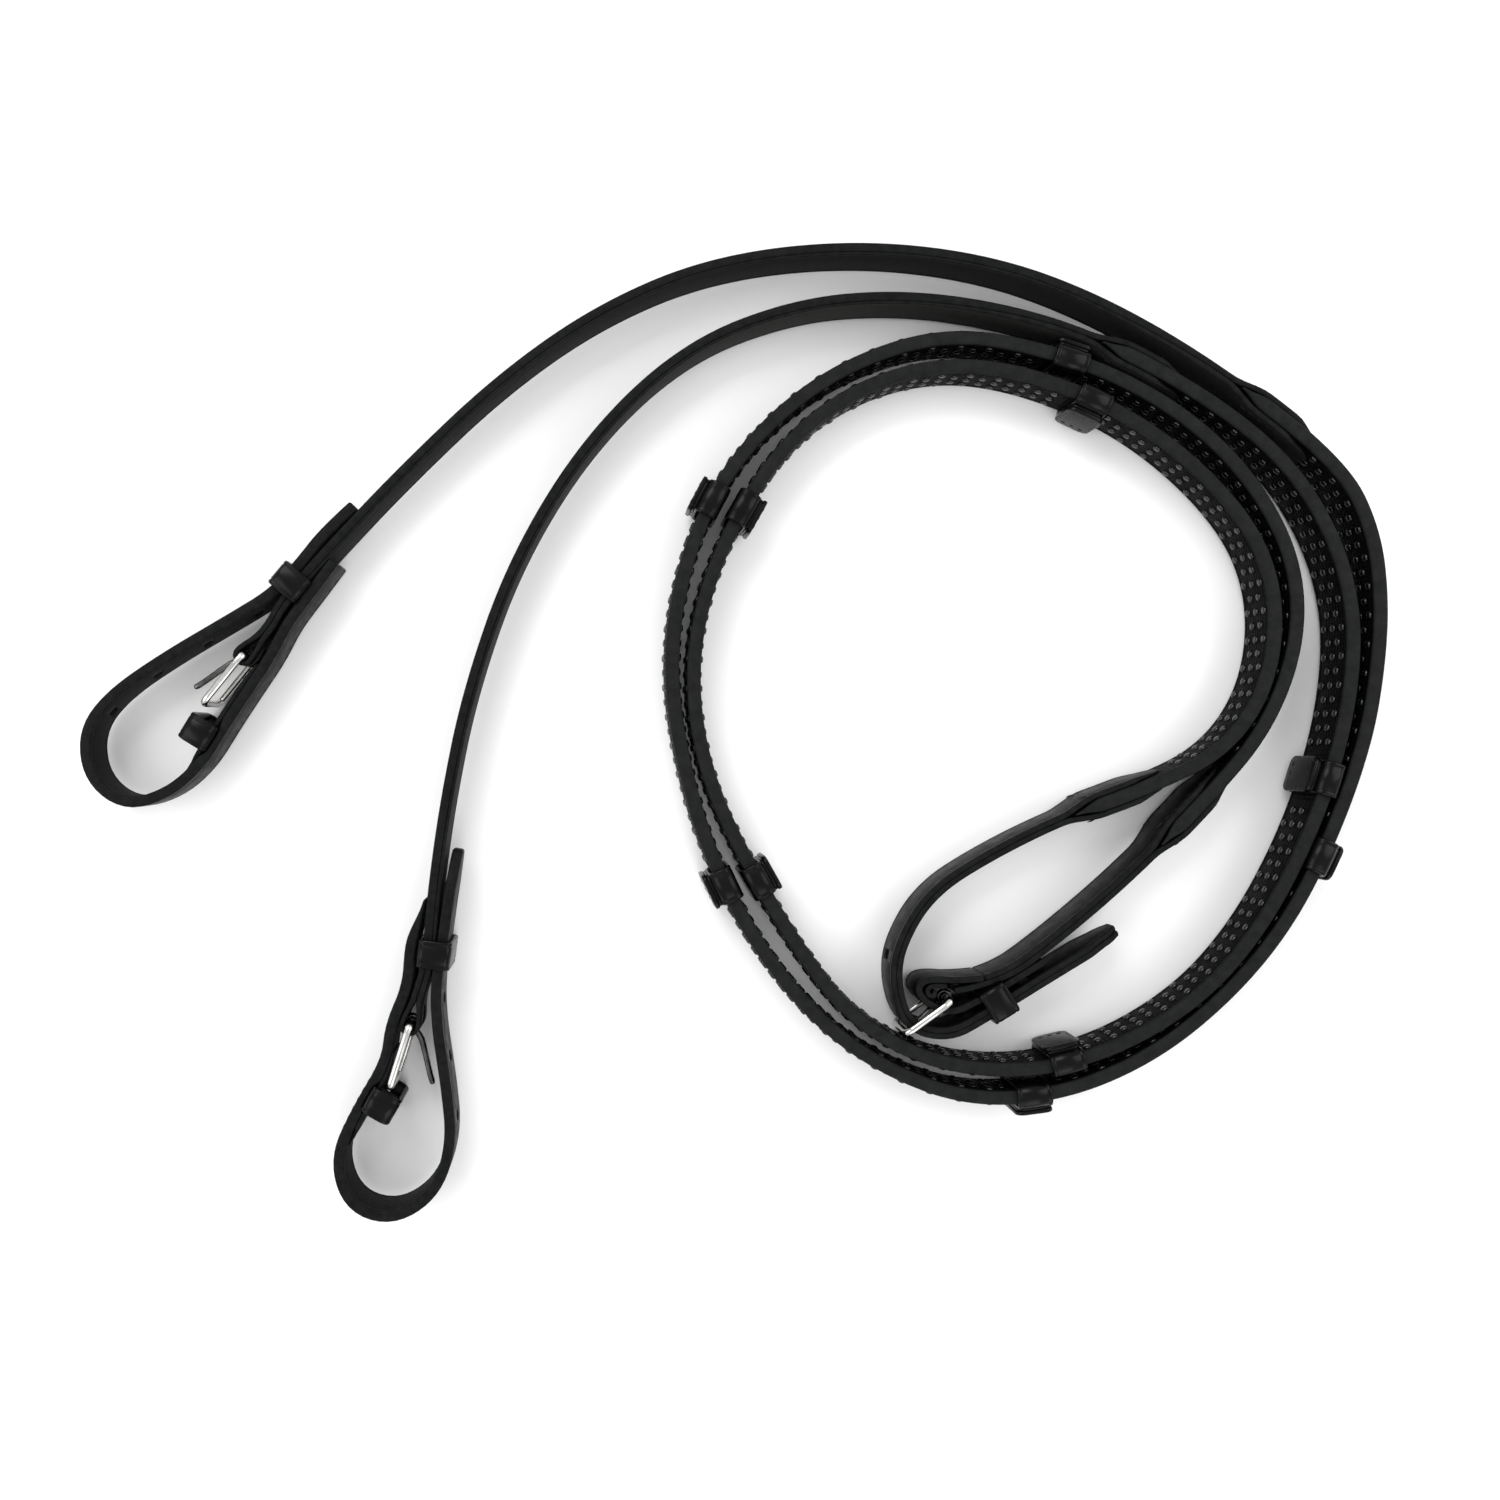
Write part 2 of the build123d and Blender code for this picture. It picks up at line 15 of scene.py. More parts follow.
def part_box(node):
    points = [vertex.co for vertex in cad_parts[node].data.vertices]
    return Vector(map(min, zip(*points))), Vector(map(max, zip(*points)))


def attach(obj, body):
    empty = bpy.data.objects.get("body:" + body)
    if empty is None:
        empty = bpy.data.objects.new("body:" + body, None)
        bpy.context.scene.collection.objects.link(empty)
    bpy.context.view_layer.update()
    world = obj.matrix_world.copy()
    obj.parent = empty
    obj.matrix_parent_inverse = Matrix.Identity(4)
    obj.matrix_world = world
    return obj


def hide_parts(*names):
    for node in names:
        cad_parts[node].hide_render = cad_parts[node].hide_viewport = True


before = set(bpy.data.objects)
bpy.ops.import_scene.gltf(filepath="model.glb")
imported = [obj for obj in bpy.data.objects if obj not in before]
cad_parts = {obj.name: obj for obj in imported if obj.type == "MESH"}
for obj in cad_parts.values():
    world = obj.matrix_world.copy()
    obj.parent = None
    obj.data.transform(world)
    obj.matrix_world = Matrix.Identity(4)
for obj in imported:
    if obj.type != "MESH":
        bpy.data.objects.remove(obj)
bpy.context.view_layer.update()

# Driving dimensions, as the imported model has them.
MID_Z = 0.0106
# Half widths, upright: leather, rubber, the outside of a wrap or keeper and the inside of a keeper.
STRAP_HALF = 0.008
GRIP_HALF = 0.0088
WRAP_HALF = 0.0106
KEEPER_INSIDE = 0.0086
# Thicknesses: one ply, half a grip, half a billet, a keeper tab and a skived end.
PLY = 0.002
GRIP = 0.0023
BILLET = 0.0018
LINING = 0.0016
SKIVED = 0.0007
# Where two plies open round a grip: the opening, the sewn overlap and the thinned tip.
RAMP = 0.010
SPLICE = 0.034
SKIVE = 0.012
# The cheek strap's end, folded round a buckle's bar, and the centre roll.
FOLD_REACH = 0.010
FOLD_RADIUS = 0.0027
FOLD_HALF = 0.0008
ROLL_HALF = 0.0011
# Buckles.
BAR_RADIUS = 0.0015
WIRE_RADIUS = 0.0012
RAIL_LEVEL = 0.00925
FRAME_CORNER = 0.0026
TONGUE_BORE = 0.0016
TONGUE_EYE = 0.0028
SLOT_HALF = 0.0016
# Keepers and hand stops, along the strap, and their walls.
KEEPER_LENGTH = 0.0094
KEEPER_THIN = 0.0012
KEEPER_THICK = 0.0016
STOP_LENGTH = 0.0115
STOP_WALL = 0.0014
STOPS = range(1, 6)
# Punched holes: the first one's distance before the tip keeper, and their spacing.
HOLE_RADIUS = 0.0018
FIRST_HOLE = 0.075
HOLE_PITCH = 0.020
# Stitches: their spacing and the heights of a strap's two rows.
STITCH_PITCH = 0.0034
STITCH_ROWS = (0.0058, -0.0058)
# The two cheek plies meet at this offset from the route.
SEAM = -0.001
# How the half width is drawn in to a tip: distance back from the tip, and half width there.
ROUNDED_TIP = ((0.013, STRAP_HALF), (0.004, STRAP_HALF - 0.0022), (0.0, STRAP_HALF - 0.0045))
POINTED_TIP = ((0.014, STRAP_HALF), (0.005, 0.0056), (0.0, 0.0028))

# Where the straps lie: control points of their splines, seen from above.
REIN_1 = [
    (-0.1615, 0.0255), (-0.153, 0.034), (-0.149, 0.0425), (-0.1345, 0.059), (-0.1095, 0.0855),
    (-0.077, 0.1165), (-0.0435, 0.14), (-0.0065, 0.1555), (0.039, 0.161), (0.0835, 0.1565),
    (0.1215, 0.143), (0.1615, 0.1195), (0.2015, 0.088), (0.212, 0.066), (0.2145, 0.0425), (0.213, 0.02),
    (0.209, -0.003), (0.1985, -0.033), (0.1835, -0.063), (0.1635, -0.087), (0.1385, -0.107),
    (0.109, -0.1195), (0.078, -0.1215), (0.05, -0.111), (0.0275, -0.0945), (0.008, -0.07),
    (-0.0075, -0.04), (-0.016, -0.011), (-0.0205, 0.0175), (-0.018, 0.047), (-0.0075, 0.0775),
    (0.012, 0.103), (0.0385, 0.122), (0.071, 0.132), (0.1035, 0.1265), (0.1335, 0.115), (0.1595, 0.097),
    (0.178, 0.074), (0.187, 0.0505), (0.186, 0.0255), (0.1755, 0.0), (0.157, -0.0215),
    (0.1315, -0.0475), (0.105, -0.07), (0.088, -0.082), (0.0735, -0.0845),
]
REIN_2 = [
    (-0.1065, -0.097), (-0.1045, -0.0885), (-0.1005, -0.077), (-0.099, -0.0555), (-0.0945, -0.0225),
    (-0.087, 0.014), (-0.072, 0.057), (-0.047, 0.0975), (-0.015, 0.1275), (0.021, 0.1415),
    (0.0555, 0.1445), (0.09, 0.14), (0.1215, 0.13), (0.1565, 0.111), (0.183, 0.09), (0.1985, 0.0655),
    (0.2055, 0.0405), (0.2045, 0.014), (0.1985, -0.0125), (0.1885, -0.039), (0.174, -0.0655),
    (0.155, -0.0875), (0.1285, -0.104), (0.0985, -0.1125), (0.0665, -0.1095), (0.0405, -0.0955),
    (0.0235, -0.074), (0.0065, -0.046), (-0.0075, -0.0175), (-0.0135, 0.0115), (-0.011, 0.0405),
    (0.0, 0.069), (0.018, 0.0965), (0.042, 0.1145), (0.072, 0.1225), (0.1025, 0.1175), (0.1335, 0.1035),
    (0.1585, 0.0835), (0.175, 0.062), (0.1805, 0.038), (0.176, 0.0125), (0.1615, -0.007),
    (0.138, -0.018), (0.1105, -0.028), (0.086, -0.04), (0.0655, -0.053), (0.055, -0.071),
    (0.054, -0.0845), (0.0585, -0.0975), (0.072, -0.1005), (0.0835, -0.094), (0.105, -0.0805),
    (0.129, -0.066),
]
BILLET_1 = [
    (-0.1315, 0.0565), (-0.1405, 0.0445), (-0.147, 0.036), (-0.1525, 0.025), (-0.161, 0.0125),
    (-0.1685, 0.001), (-0.1755, -0.0105), (-0.186, -0.02), (-0.2005, -0.0245), (-0.2125, -0.0155),
    (-0.2145, 0.0), (-0.206, 0.012), (-0.188, 0.0245), (-0.164, 0.0385), (-0.1516, 0.0461),
    (-0.1428, 0.0558), (-0.1345, 0.0665), (-0.125, 0.075),
]
BILLET_2 = [
    (-0.103, -0.055), (-0.1065, -0.07), (-0.107, -0.0835), (-0.113, -0.097), (-0.114, -0.1085),
    (-0.1235, -0.124), (-0.1315, -0.141), (-0.1265, -0.157), (-0.112, -0.1615), (-0.098, -0.1525),
    (-0.0925, -0.136), (-0.0945, -0.1165), (-0.0975, -0.098), (-0.098, -0.0835), (-0.0955, -0.0685),
    (-0.0935, -0.0535), (-0.091, -0.039),
]
CENTRE_LAP = [
    (0.0712, -0.0838), (0.0683, -0.0837), (0.0656, -0.0839), (0.0643, -0.0856), (0.0655, -0.0874),
    (0.0674, -0.0868), (0.0668, -0.0855),
]
CENTRE_ROLL = [
    (0.1035, -0.0755), (0.0887, -0.0849), (0.08, -0.0895), (0.0727, -0.0928), (0.0657, -0.0903),
    (0.0625, -0.0875), (0.0615, -0.0845), (0.0635, -0.082), (0.0685, -0.0815), (0.0745, -0.0821),
    (0.0835, -0.0812),
]


def read_spline(name, points):
    """The points that Blender draws along a NURBS spline with these control points."""
    curve = bpy.data.curves.new(name, "CURVE")
    curve.dimensions = "3D"
    curve.resolution_u = 16
    spline = curve.splines.new("NURBS")
    spline.points.add(len(points) - 1)
    for control, (x, y) in zip(spline.points, points):
        control.co = (x, y, MID_Z, 1)
    spline.order_u = 3
    spline.use_endpoint_u = True
    holder = bpy.data.objects.new(name, curve)
    drawn = bpy.data.meshes.new_from_object(holder)
    line = np.array([vertex.co[:2] for vertex in drawn.vertices])
    bpy.data.objects.remove(holder)
    bpy.data.curves.remove(curve)
    bpy.data.meshes.remove(drawn)
    return line


def middle_of(node):
    """The middle of a CAD node's box, seen from above."""
    low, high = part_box(node)
    return (np.array(low)[:2] + np.array(high)[:2]) / 2


class Route:
    """A line seen from above, measured along its length."""

    def __init__(self, line):
        steps = np.linalg.norm(np.diff(line, axis=0), axis=1)
        self.line = line[np.concatenate([[True], steps > 1e-7])]
        steps = np.linalg.norm(np.diff(self.line, axis=0), axis=1)
        self.along = np.concatenate([[0.0], np.cumsum(steps)])
        self.length = float(self.along[-1])
        tangents = np.gradient(self.line, self.along, axis=0)
        self.tangents = tangents / np.linalg.norm(tangents, axis=1)[:, None]

    def at(self, stations):
        """Positions, directions and left-hand normals at distances along the line."""
        stations = np.atleast_1d(np.asarray(stations, float))
        inside = np.clip(stations, 0, self.length)
        points = np.stack([np.interp(inside, self.along, self.line[:, i]) for i in (0, 1)], axis=1)
        tangents = np.stack([np.interp(inside, self.along, self.tangents[:, i]) for i in (0, 1)], axis=1)
        tangents /= np.linalg.norm(tangents, axis=1)[:, None]
        points = points + tangents * (stations - inside)[:, None]
        normals = np.stack([-tangents[:, 1], tangents[:, 0]], axis=1)
        return points, tangents, normals

    def nearest(self, node):
        """The distance along the line that is nearest the middle of a CAD node."""
        return float(self.along[np.argmin(np.linalg.norm(self.line - middle_of(node), axis=1))])

    def nearest_beside(self, node, offset):
        """The same, for a node that sits at an offset from the line."""
        stations = np.linspace(0, self.length, 4000)
        points, _, normals = self.at(stations)
        away = np.linalg.norm(points + normals * offset - middle_of(node), axis=1)
        return float(stations[np.argmin(away)])

    def place(self, station, offset=0.0):
        """A matrix with X along the strap, Y to its left and Z up."""
        points, tangents, normals = self.at(station)
        return seat(points[0] + normals[0] * offset, tangents[0])

    def path(self, first, last, step=0.004):
        """Points in space along a stretch of the line."""
        return [(x, y, MID_Z) for x, y in self.at(np.arange(first, last, step))[0]]


def seat(point, direction):
    """A matrix on a point at mid height, with X in a level direction and Z up."""
    x, y = direction
    return Matrix(((x, -y, 0, point[0]), (y, x, 0, point[1]), (0, 0, 1, MID_Z), (0, 0, 0, 1)))


def seat_at_angle(point, degrees):
    """The same, with X at an angle from the world's X."""
    angle = math.radians(degrees)
    return seat(point, (math.cos(angle), math.sin(angle)))


# ---------------------------------------------------------------- materials


def new_material(name, colour, roughness, metallic=0.0, coat=0.0, specular=0.5, sheen=0.0):
    """A plain material, with its node tree and shader."""
    material = bpy.data.materials.new(name)
    material.use_nodes = True
    shader = material.node_tree.nodes["Principled BSDF"]
    shader.inputs["Base Color"].default_value = (*colour, 1)
    shader.inputs["Roughness"].default_value = roughness
    shader.inputs["Metallic"].default_value = metallic
    shader.inputs["Coat Weight"].default_value = coat
    shader.inputs["Coat Roughness"].default_value = 0.25
    shader.inputs["Specular IOR Level"].default_value = specular
    shader.inputs["Sheen Weight"].default_value = sheen
    shader.inputs["Sheen Roughness"].default_value = 0.5
    return material, material.node_tree, shader


def add_node(tree, kind, **values):
    """A shader node, with its inputs and settings given by name."""
    node = tree.nodes.new(kind)
    for key, value in values.items():
        if key in node.inputs:
            node.inputs[key].default_value = value
        else:
            setattr(node, key, value)
    return node


def noise(tree, scale, detail, rough=0.55):
    """Soft noise fixed to the object."""
    place = add_node(tree, "ShaderNodeTexCoord")
    texture = add_node(tree, "ShaderNodeTexNoise", Scale=scale, Detail=detail, Roughness=rough)
    tree.links.new(place.outputs["Object"], texture.inputs["Vector"])
    return texture.outputs["Fac"]


def cells(tree, scale, feature="F1", source="Object", randomness=1.0):
    """Distances from scattered points, or from a square grid's points at randomness 0."""
    place = add_node(tree, "ShaderNodeTexCoord")
    texture = add_node(tree, "ShaderNodeTexVoronoi", feature=feature, Scale=scale, Randomness=randomness)
    tree.links.new(place.outputs[source], texture.inputs["Vector"])
    return texture.outputs["Distance"]


def tint(tree, shader, source, low, high):
    """Colours a surface by a texture, between two (level, colour) stops."""
    node = add_node(tree, "ShaderNodeValToRGB")
    for element, (level, colour) in zip(node.color_ramp.elements, (low, high)):
        element.position = level
        element.color = (*colour, 1)
    tree.links.new(source, node.inputs["Fac"])
    tree.links.new(node.outputs["Color"], shader.inputs["Base Color"])


def polish(tree, shader, source, low, high):
    """Varies a surface's roughness by a texture."""
    node = add_node(tree, "ShaderNodeMapRange")
    for socket, value in (("From Min", 0.3), ("From Max", 0.7), ("To Min", low), ("To Max", high)):
        node.inputs[socket].default_value = value
    tree.links.new(source, node.inputs["Value"])
    tree.links.new(node.outputs["Result"], shader.inputs["Roughness"])


def bump(tree, shader, layers):
    """Stacked bumps: (texture output, height in metres, strength)."""
    last = None
    for source, distance, strength in layers:
        node = add_node(tree, "ShaderNodeBump", Strength=strength, Distance=distance)
        tree.links.new(source, node.inputs["Height"])
        if last:
            tree.links.new(last.outputs["Normal"], node.inputs["Normal"])
        last = node
    tree.links.new(last.outputs["Normal"], shader.inputs["Normal"])


def leather(name, dark, light, roughness, coat=0.0, grain=1.0, specular=0.5):
    """Dyed leather: mottled colour, pebbled grain and uneven polish."""
    material, tree, shader = new_material(name, dark, sum(roughness) / 2, coat=coat, specular=specular)
    mottle = noise(tree, 90, 5)
    pebbles = cells(tree, 1150, "SMOOTH_F1")
    pores = noise(tree, 2600, 2)
    tint(tree, shader, mottle, (0.32, dark), (0.7, light))
    polish(tree, shader, noise(tree, 240, 3), *roughness)
    bump(tree, shader, [
        (pebbles, 0.00012, 0.55 * grain),
        (pores, 0.00006, 0.5 * grain),
        (mottle, 0.0004, 0.25 * grain),
    ])
    return material


def flesh(name, dark, light):
    """The suede-like flesh side of leather, with loose fibre."""
    material, tree, shader = new_material(name, dark, 0.85, specular=0.1, sheen=0.02)
    fibre = noise(tree, 1500, 6, 0.7)
    tint(tree, shader, fibre, (0.3, dark), (0.75, light))
    bump(tree, shader, [(fibre, 0.00025, 0.8), (noise(tree, 330, 3), 0.0005, 0.5)])
    return material


def cut_edge(name, dark, light):
    """A strap's edge, its grey lighter than the faces as painted light: smooth, a little uneven, with fine
    fibres showing along it.
    """
    material, tree, shader = new_material(name, dark, 0.5, specular=0.07)
    along = noise(tree, 420, 5, 0.6)
    tint(tree, shader, along, (0.3, dark), (0.72, light))
    polish(tree, shader, noise(tree, 700, 3), 0.42, 0.62)
    bump(tree, shader, [(along, 0.00018, 0.5), (noise(tree, 2400, 3), 0.00005, 0.45)])
    return material


def rubber(name, dark, light, specular, roughness=(0.5, 0.72), grid=False):
    """Moulded rubber. The faces carry a fine square grid between the pimples."""
    material, tree, shader = new_material(name, dark, 0.6, specular=specular)
    tint(tree, shader, noise(tree, 260, 6, 0.65), (0.35, dark), (0.75, light))
    polish(tree, shader, noise(tree, 120, 3), *roughness)
    layers = [(noise(tree, 1800, 4), 0.00005, 0.5)]
    if grid:
        layers.append((cells(tree, 612, source="UV", randomness=0.0), 0.0005, 0.9))
    bump(tree, shader, layers)
    return material


def nickel(name, dull, bright, roughness):
    """Nickel plate with fine polishing lines and small dull patches."""
    material, tree, shader = new_material(name, bright, 0.2, metallic=1.0)
    tint(tree, shader, noise(tree, 160, 3), (0.3, dull), (0.65, bright))
    polish(tree, shader, noise(tree, 420, 3), *roughness)
    bump(tree, shader, [(noise(tree, 900, 2), 0.00002, 0.2)])
    return material


def waxed_thread(name):
    """Black waxed thread, twisted."""
    material, tree, shader = new_material(name, (0.008, 0.008, 0.008), 0.5, specular=0.25)
    twist = noise(tree, 3800, 3)
    tint(tree, shader, twist, (0.35, (0.003, 0.003, 0.003)), (0.7, (0.016, 0.016, 0.016)))
    bump(tree, shader, [(twist, 0.0001, 0.8)])
    return material


# Painted shade: the smooth leather's faces are darkened to stand in for shade on the straps' upright sides.
SHADED_FACE = leather(
    "smooth_leather_painted_shade", (0.0008, 0.0008, 0.0010), (0.0030, 0.0030, 0.0032), (0.40, 0.56), specular=0.10,
)
INNER_DARK = flesh("flesh_side_dark", (0.002, 0.002, 0.002), (0.009, 0.009, 0.0088))
INNER_GREY = flesh("flesh_side_grey", (0.009, 0.009, 0.0085), (0.024, 0.024, 0.022))
# Painted light: the edges get a lighter grey than the faces, standing in for light on the straps' top edges.
LIT_EDGE = cut_edge("edge_with_painted_light", (0.0025, 0.0027, 0.0030), (0.0088, 0.0091, 0.0093))
GLOSSY = leather(
    "polished_leather", (0.0008, 0.0008, 0.0008), (0.0022, 0.0022, 0.0022), (0.2, 0.3),
    coat=0.02, grain=0.2, specular=0.13,
)
# Painted light and shade: the rubber's edge is a lighter grey for light on the grip's top edge, and its faces
# near-black for shade on its upright sides.
LIT_RUBBER_EDGE = rubber("rubber_edge_painted_light", (0.0070, 0.0074, 0.0074), (0.0138, 0.0142, 0.0142), 0.07)
SHADED_RUBBER_FACE = rubber("rubber_face_painted_shade", (0.0004, 0.0004, 0.0007), (0.0018, 0.0018, 0.0024), 0.05, grid=True)
RUBBER_PIMPLE = rubber("rubber_pimple", (0.0016, 0.0016, 0.0018), (0.005, 0.005, 0.0055), 0.42, (0.16, 0.28))
NICKEL = nickel("bright_nickel", (0.56, 0.55, 0.53), (0.72, 0.71, 0.69), (0.10, 0.2))
TONGUE_NICKEL = nickel("shaded_nickel", (0.05, 0.05, 0.05), (0.13, 0.13, 0.128), (0.16, 0.3))
THREAD = waxed_thread("waxed_thread")
# A strap's slots: both faces with painted shade, and the edges with painted light.
STRAP_SLOTS = (SHADED_FACE, SHADED_FACE, LIT_EDGE)


# ---------------------------------------------------------------- mesh building


def put_in_scene(name, data):
    """An object that holds a mesh, a lamp or a camera."""
    item = bpy.data.objects.new(name, data)
    bpy.context.scene.collection.objects.link(item)
    return item


def face_outward(mesh):
    """Turns every face of a closed mesh outward."""
    clean = bmesh.new()
    clean.from_mesh(mesh)
    bmesh.ops.recalc_face_normals(clean, faces=clean.faces)
    clean.to_mesh(mesh)
    clean.free()


def make(name, vertices, faces, materials, slots, body="root", nodes=(), uv=None):
    """A smooth-shaded mesh piece that rides on a body and may replace CAD nodes."""
    mesh = bpy.data.meshes.new(name)
    mesh.from_pydata([tuple(v) for v in vertices], [], faces)
    for material in materials:
        mesh.materials.append(material)
    mesh.polygons.foreach_set("material_index", slots)
    mesh.polygons.foreach_set("use_smooth", [True] * len(faces))
    if uv is not None:
        layer = mesh.uv_layers.new(name="UVMap")
        corners = np.zeros(len(mesh.loops), np.int32)
        mesh.loops.foreach_get("vertex_index", corners)
        layer.data.foreach_set("uv", np.asarray(uv, float)[corners].ravel())
    mesh.update()
    face_outward(mesh)
    piece = put_in_scene(name, mesh)
    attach(piece, body)
    if nodes:
        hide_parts(*nodes)
    return piece


def loft(loops, closed, first=0):
    """Quads between loops of equal length, and the caps of an open loft."""
    count = len(loops[0])
    faces = []
    rows = len(loops) if closed else len(loops) - 1
    for row in range(rows):
        a = first + row * count
        b = first + ((row + 1) % len(loops)) * count
        for i in range(count):
            j = (i + 1) % count
            faces.append((a + i, a + j, b + j, b + i))
    if not closed:
        faces.append(tuple(first + i for i in range(count)))
        faces.append(tuple(first + (len(loops) - 1) * count + i for i in reversed(range(count))))
    return faces


def circle(radius, count):
    """Points round a circle."""
    turns = [math.tau * step / count for step in range(count)]
    return [(radius * math.cos(turn), radius * math.sin(turn)) for turn in turns]


def rounded_loop(low, high, bottom, top, radius, steps=4):
    """A rounded rectangle as (across, up) points."""
    radius = min(radius, (high - low) / 2 * 0.98, (top - bottom) / 2 * 0.98)
    points = []
    corners = ((high, top, 0), (low, top, 90), (low, bottom, 180), (high, bottom, 270))
    for x, y, start in corners:
        cx = x - radius if x == high else x + radius
        cy = y - radius if y == top else y + radius
        for step in range(steps + 1):
            angle = math.radians(start + 90 * step / steps)
            points.append((cx + radius * math.cos(angle), cy + radius * math.sin(angle)))
    return points


def strap_section(low, high, half, radius, crease):
    """Offsets and heights round a strap's section, and the material slot of each side."""
    radius = np.minimum(radius, (high - low) * 0.4)
    turns = np.radians([90, 60, 30, 0])
    levels = (radius + 0.0004, crease, crease + 0.0003, crease + 0.0006)
    depths = (0, 0, 0.00014, 0)
    offsets, heights, slots = [], [], []

    def corner(face, side, up, turn, slot):
        offsets.append(face - side * radius * (1 - math.cos(turn)))
        heights.append(up * (half - radius * (1 - math.sin(turn))))
        slots.append(slot)

    def crease_line(face, side, up, level, depth):
        offsets.append(face - side * depth)
        heights.append(up * (half - level))
        slots.append(0 if side > 0 else 1)

    for face, side in ((high, 1), (low, -1)):
        slot = 0 if side > 0 else 1
        for turn in turns:
            corner(face, side, side, turn, 2 if turn > 0.1 else slot)
        for level, depth in zip(levels, depths):
            crease_line(face, side, side, level, depth)
        for level, depth in zip(reversed(levels), reversed(depths)):
            crease_line(face, side, -side, level, depth)
        for turn in reversed(turns):
            corner(face, side, -side, turn, 2)
    return np.stack(offsets, axis=1), np.stack(heights, axis=1), slots


def strap(name, route, first, last, low, high, half=STRAP_HALF, materials=STRAP_SLOTS, nodes=(),
          radius=0.0006, crease=0.0014, step=0.0025, ease=0.0005):
    """A strap with rounded edges and a creased line near them. low, high and half may vary along it."""
    steps = max(4, int((last - first) / step))
    middle = np.linspace(first + 2 * ease, last - 2 * ease, steps)
    stations = np.concatenate([[first, first + ease], middle, [last - ease, last]])
    count = len(stations)
    spans = []
    for value in (low, high, half):
        spans.append(value(stations) if callable(value) else np.full(count, float(value)))
    for end in (0, -1):
        spans[0][end] += min(ease, 0.25 * (spans[1][end] - spans[0][end]))
        spans[1][end] -= min(ease, 0.25 * (spans[1][end] - spans[0][end]))
        spans[2][end] -= ease
    offsets, heights, slots = strap_section(*spans, radius, crease)
    points, _, normals = route.at(stations)
    flat = points[:, None, :] + normals[:, None, :] * offsets[:, :, None]
    vertices = np.concatenate([flat, heights[:, :, None] + MID_Z], axis=2).reshape(-1, 3)
    uv = np.stack([np.repeat(stations, offsets.shape[1]), heights.ravel()], axis=1)
    faces = loft([range(offsets.shape[1])] * count, False)
    indices = slots * (count - 1) + [2, 2]
    return make(name, vertices, faces, materials, indices, nodes=nodes, uv=uv)


def between(*pairs):
    """A value along a strap, from (distance, value) pairs, easing between unequal values."""
    stops = np.array([pair[0] for pair in pairs])
    values = np.array([pair[1] for pair in pairs])

    def value(stations):
        spot = np.clip(np.searchsorted(stops, stations, side="right") - 1, 0, len(stops) - 2)
        share = np.clip((stations - stops[spot]) / (stops[spot + 1] - stops[spot]), 0, 1)
        share = share * share * (3 - 2 * share)
        return values[spot] + (values[spot + 1] - values[spot]) * share

    return value


def solid(name, matrix, loops, closed, material, body="root", nodes=()):
    """A lofted piece in its own axes, seated by a matrix."""
    vertices = [matrix @ Vector(point) for loop in loops for point in loop]
    faces = loft(loops, closed)
    return make(name, vertices, faces, (material,), [0] * len(faces), body, nodes)


def ring_loops(low, high, walls, length, inside, radius):
    """A keeper or wrap: a band round the straps, with softened rims and two creased lines."""
    near, far = walls

    def outer(along, inset):
        left, right, top = low - near + inset, high + far - inset, WRAP_HALF - inset
        return [(along, y, z) for y, z in rounded_loop(left, right, -top, top, radius)]

    def inner(along):
        return [(along, y, z) for y, z in rounded_loop(low, high, -inside, inside, 0.0005)]

    half = length / 2
    steps = [(half, 0.00045), (half - 0.0002, 0.00012), (half - 0.0006, 0), (half - 0.0012, 0)]
    steps += [(half - 0.0015, 0.00018), (half - 0.0018, 0)]
    left = [outer(-along, inset) for along, inset in steps]
    right = [outer(along, inset) for along, inset in reversed(steps)]
    return [inner(-half + 0.0002)] + left + right + [inner(half - 0.0002)]


def slab_loops(along, low, high, half, radius, soft=0.0004):
    """A rounded plate lying on a strap's face, from offset low to offset high."""
    levels = [(low, soft), (low + soft * 0.4, soft * 0.2), (low + soft, 0)]
    levels += [(high - soft, 0), (high - soft * 0.4, soft * 0.2), (high, soft)]
    loops = []
    for offset, inset in levels:
        section = rounded_loop(-along + inset, along - inset, inset - half, half - inset, radius, 5)
        loops.append([(x, offset, z) for x, z in section])
    return loops


def gathered(groups):
    """The vertices and faces of many closed lofts, each given as a matrix and its loops."""
    vertices, faces = [], []
    for matrix, loops in groups:
        faces += loft(loops, False, len(vertices))
        vertices += [matrix @ Vector(point) for loop in loops for point in loop]
    return vertices, faces


def merged(name, groups, material, nodes=()):
    """Many small closed lofts in one mesh."""
    vertices, faces = gathered(groups)
    return make(name, vertices, faces, (material,), [0] * len(faces), nodes=nodes)


def stitch_loops(length=0.0027, radius=0.00024):
    """One stitch: a short thread that dips into its holes at both ends."""
    loops = []
    for share in (-1, -0.8, -0.45, 0, 0.45, 0.8, 1):
        size = radius * math.sqrt(1 - 0.92 * share * share)
        lift = -0.3 * radius - 0.35 * radius * share * share
        loops.append([(share * length / 2, y + lift, z) for y, z in circle(size, 6)])
    return loops


def stitch_row(route, first, last, face):
    """Seats for two rows of stitches on one face of a strap. face is the offset of that face."""
    side = math.copysign(1, face)
    seats = []
    slant = Matrix.Rotation(math.radians(9), 4, "Y")
    for number in range(int((last - first) / STITCH_PITCH)):
        matrix = route.place(first + (number + 0.5) * STITCH_PITCH, face)
        for height in STITCH_ROWS:
            turned = matrix @ Matrix.Translation((0, 0, height)) @ slant
            if side < 0:
                turned = turned @ Matrix.Rotation(math.pi, 4, "X")
            seats.append((turned, stitch_loops()))
    return seats


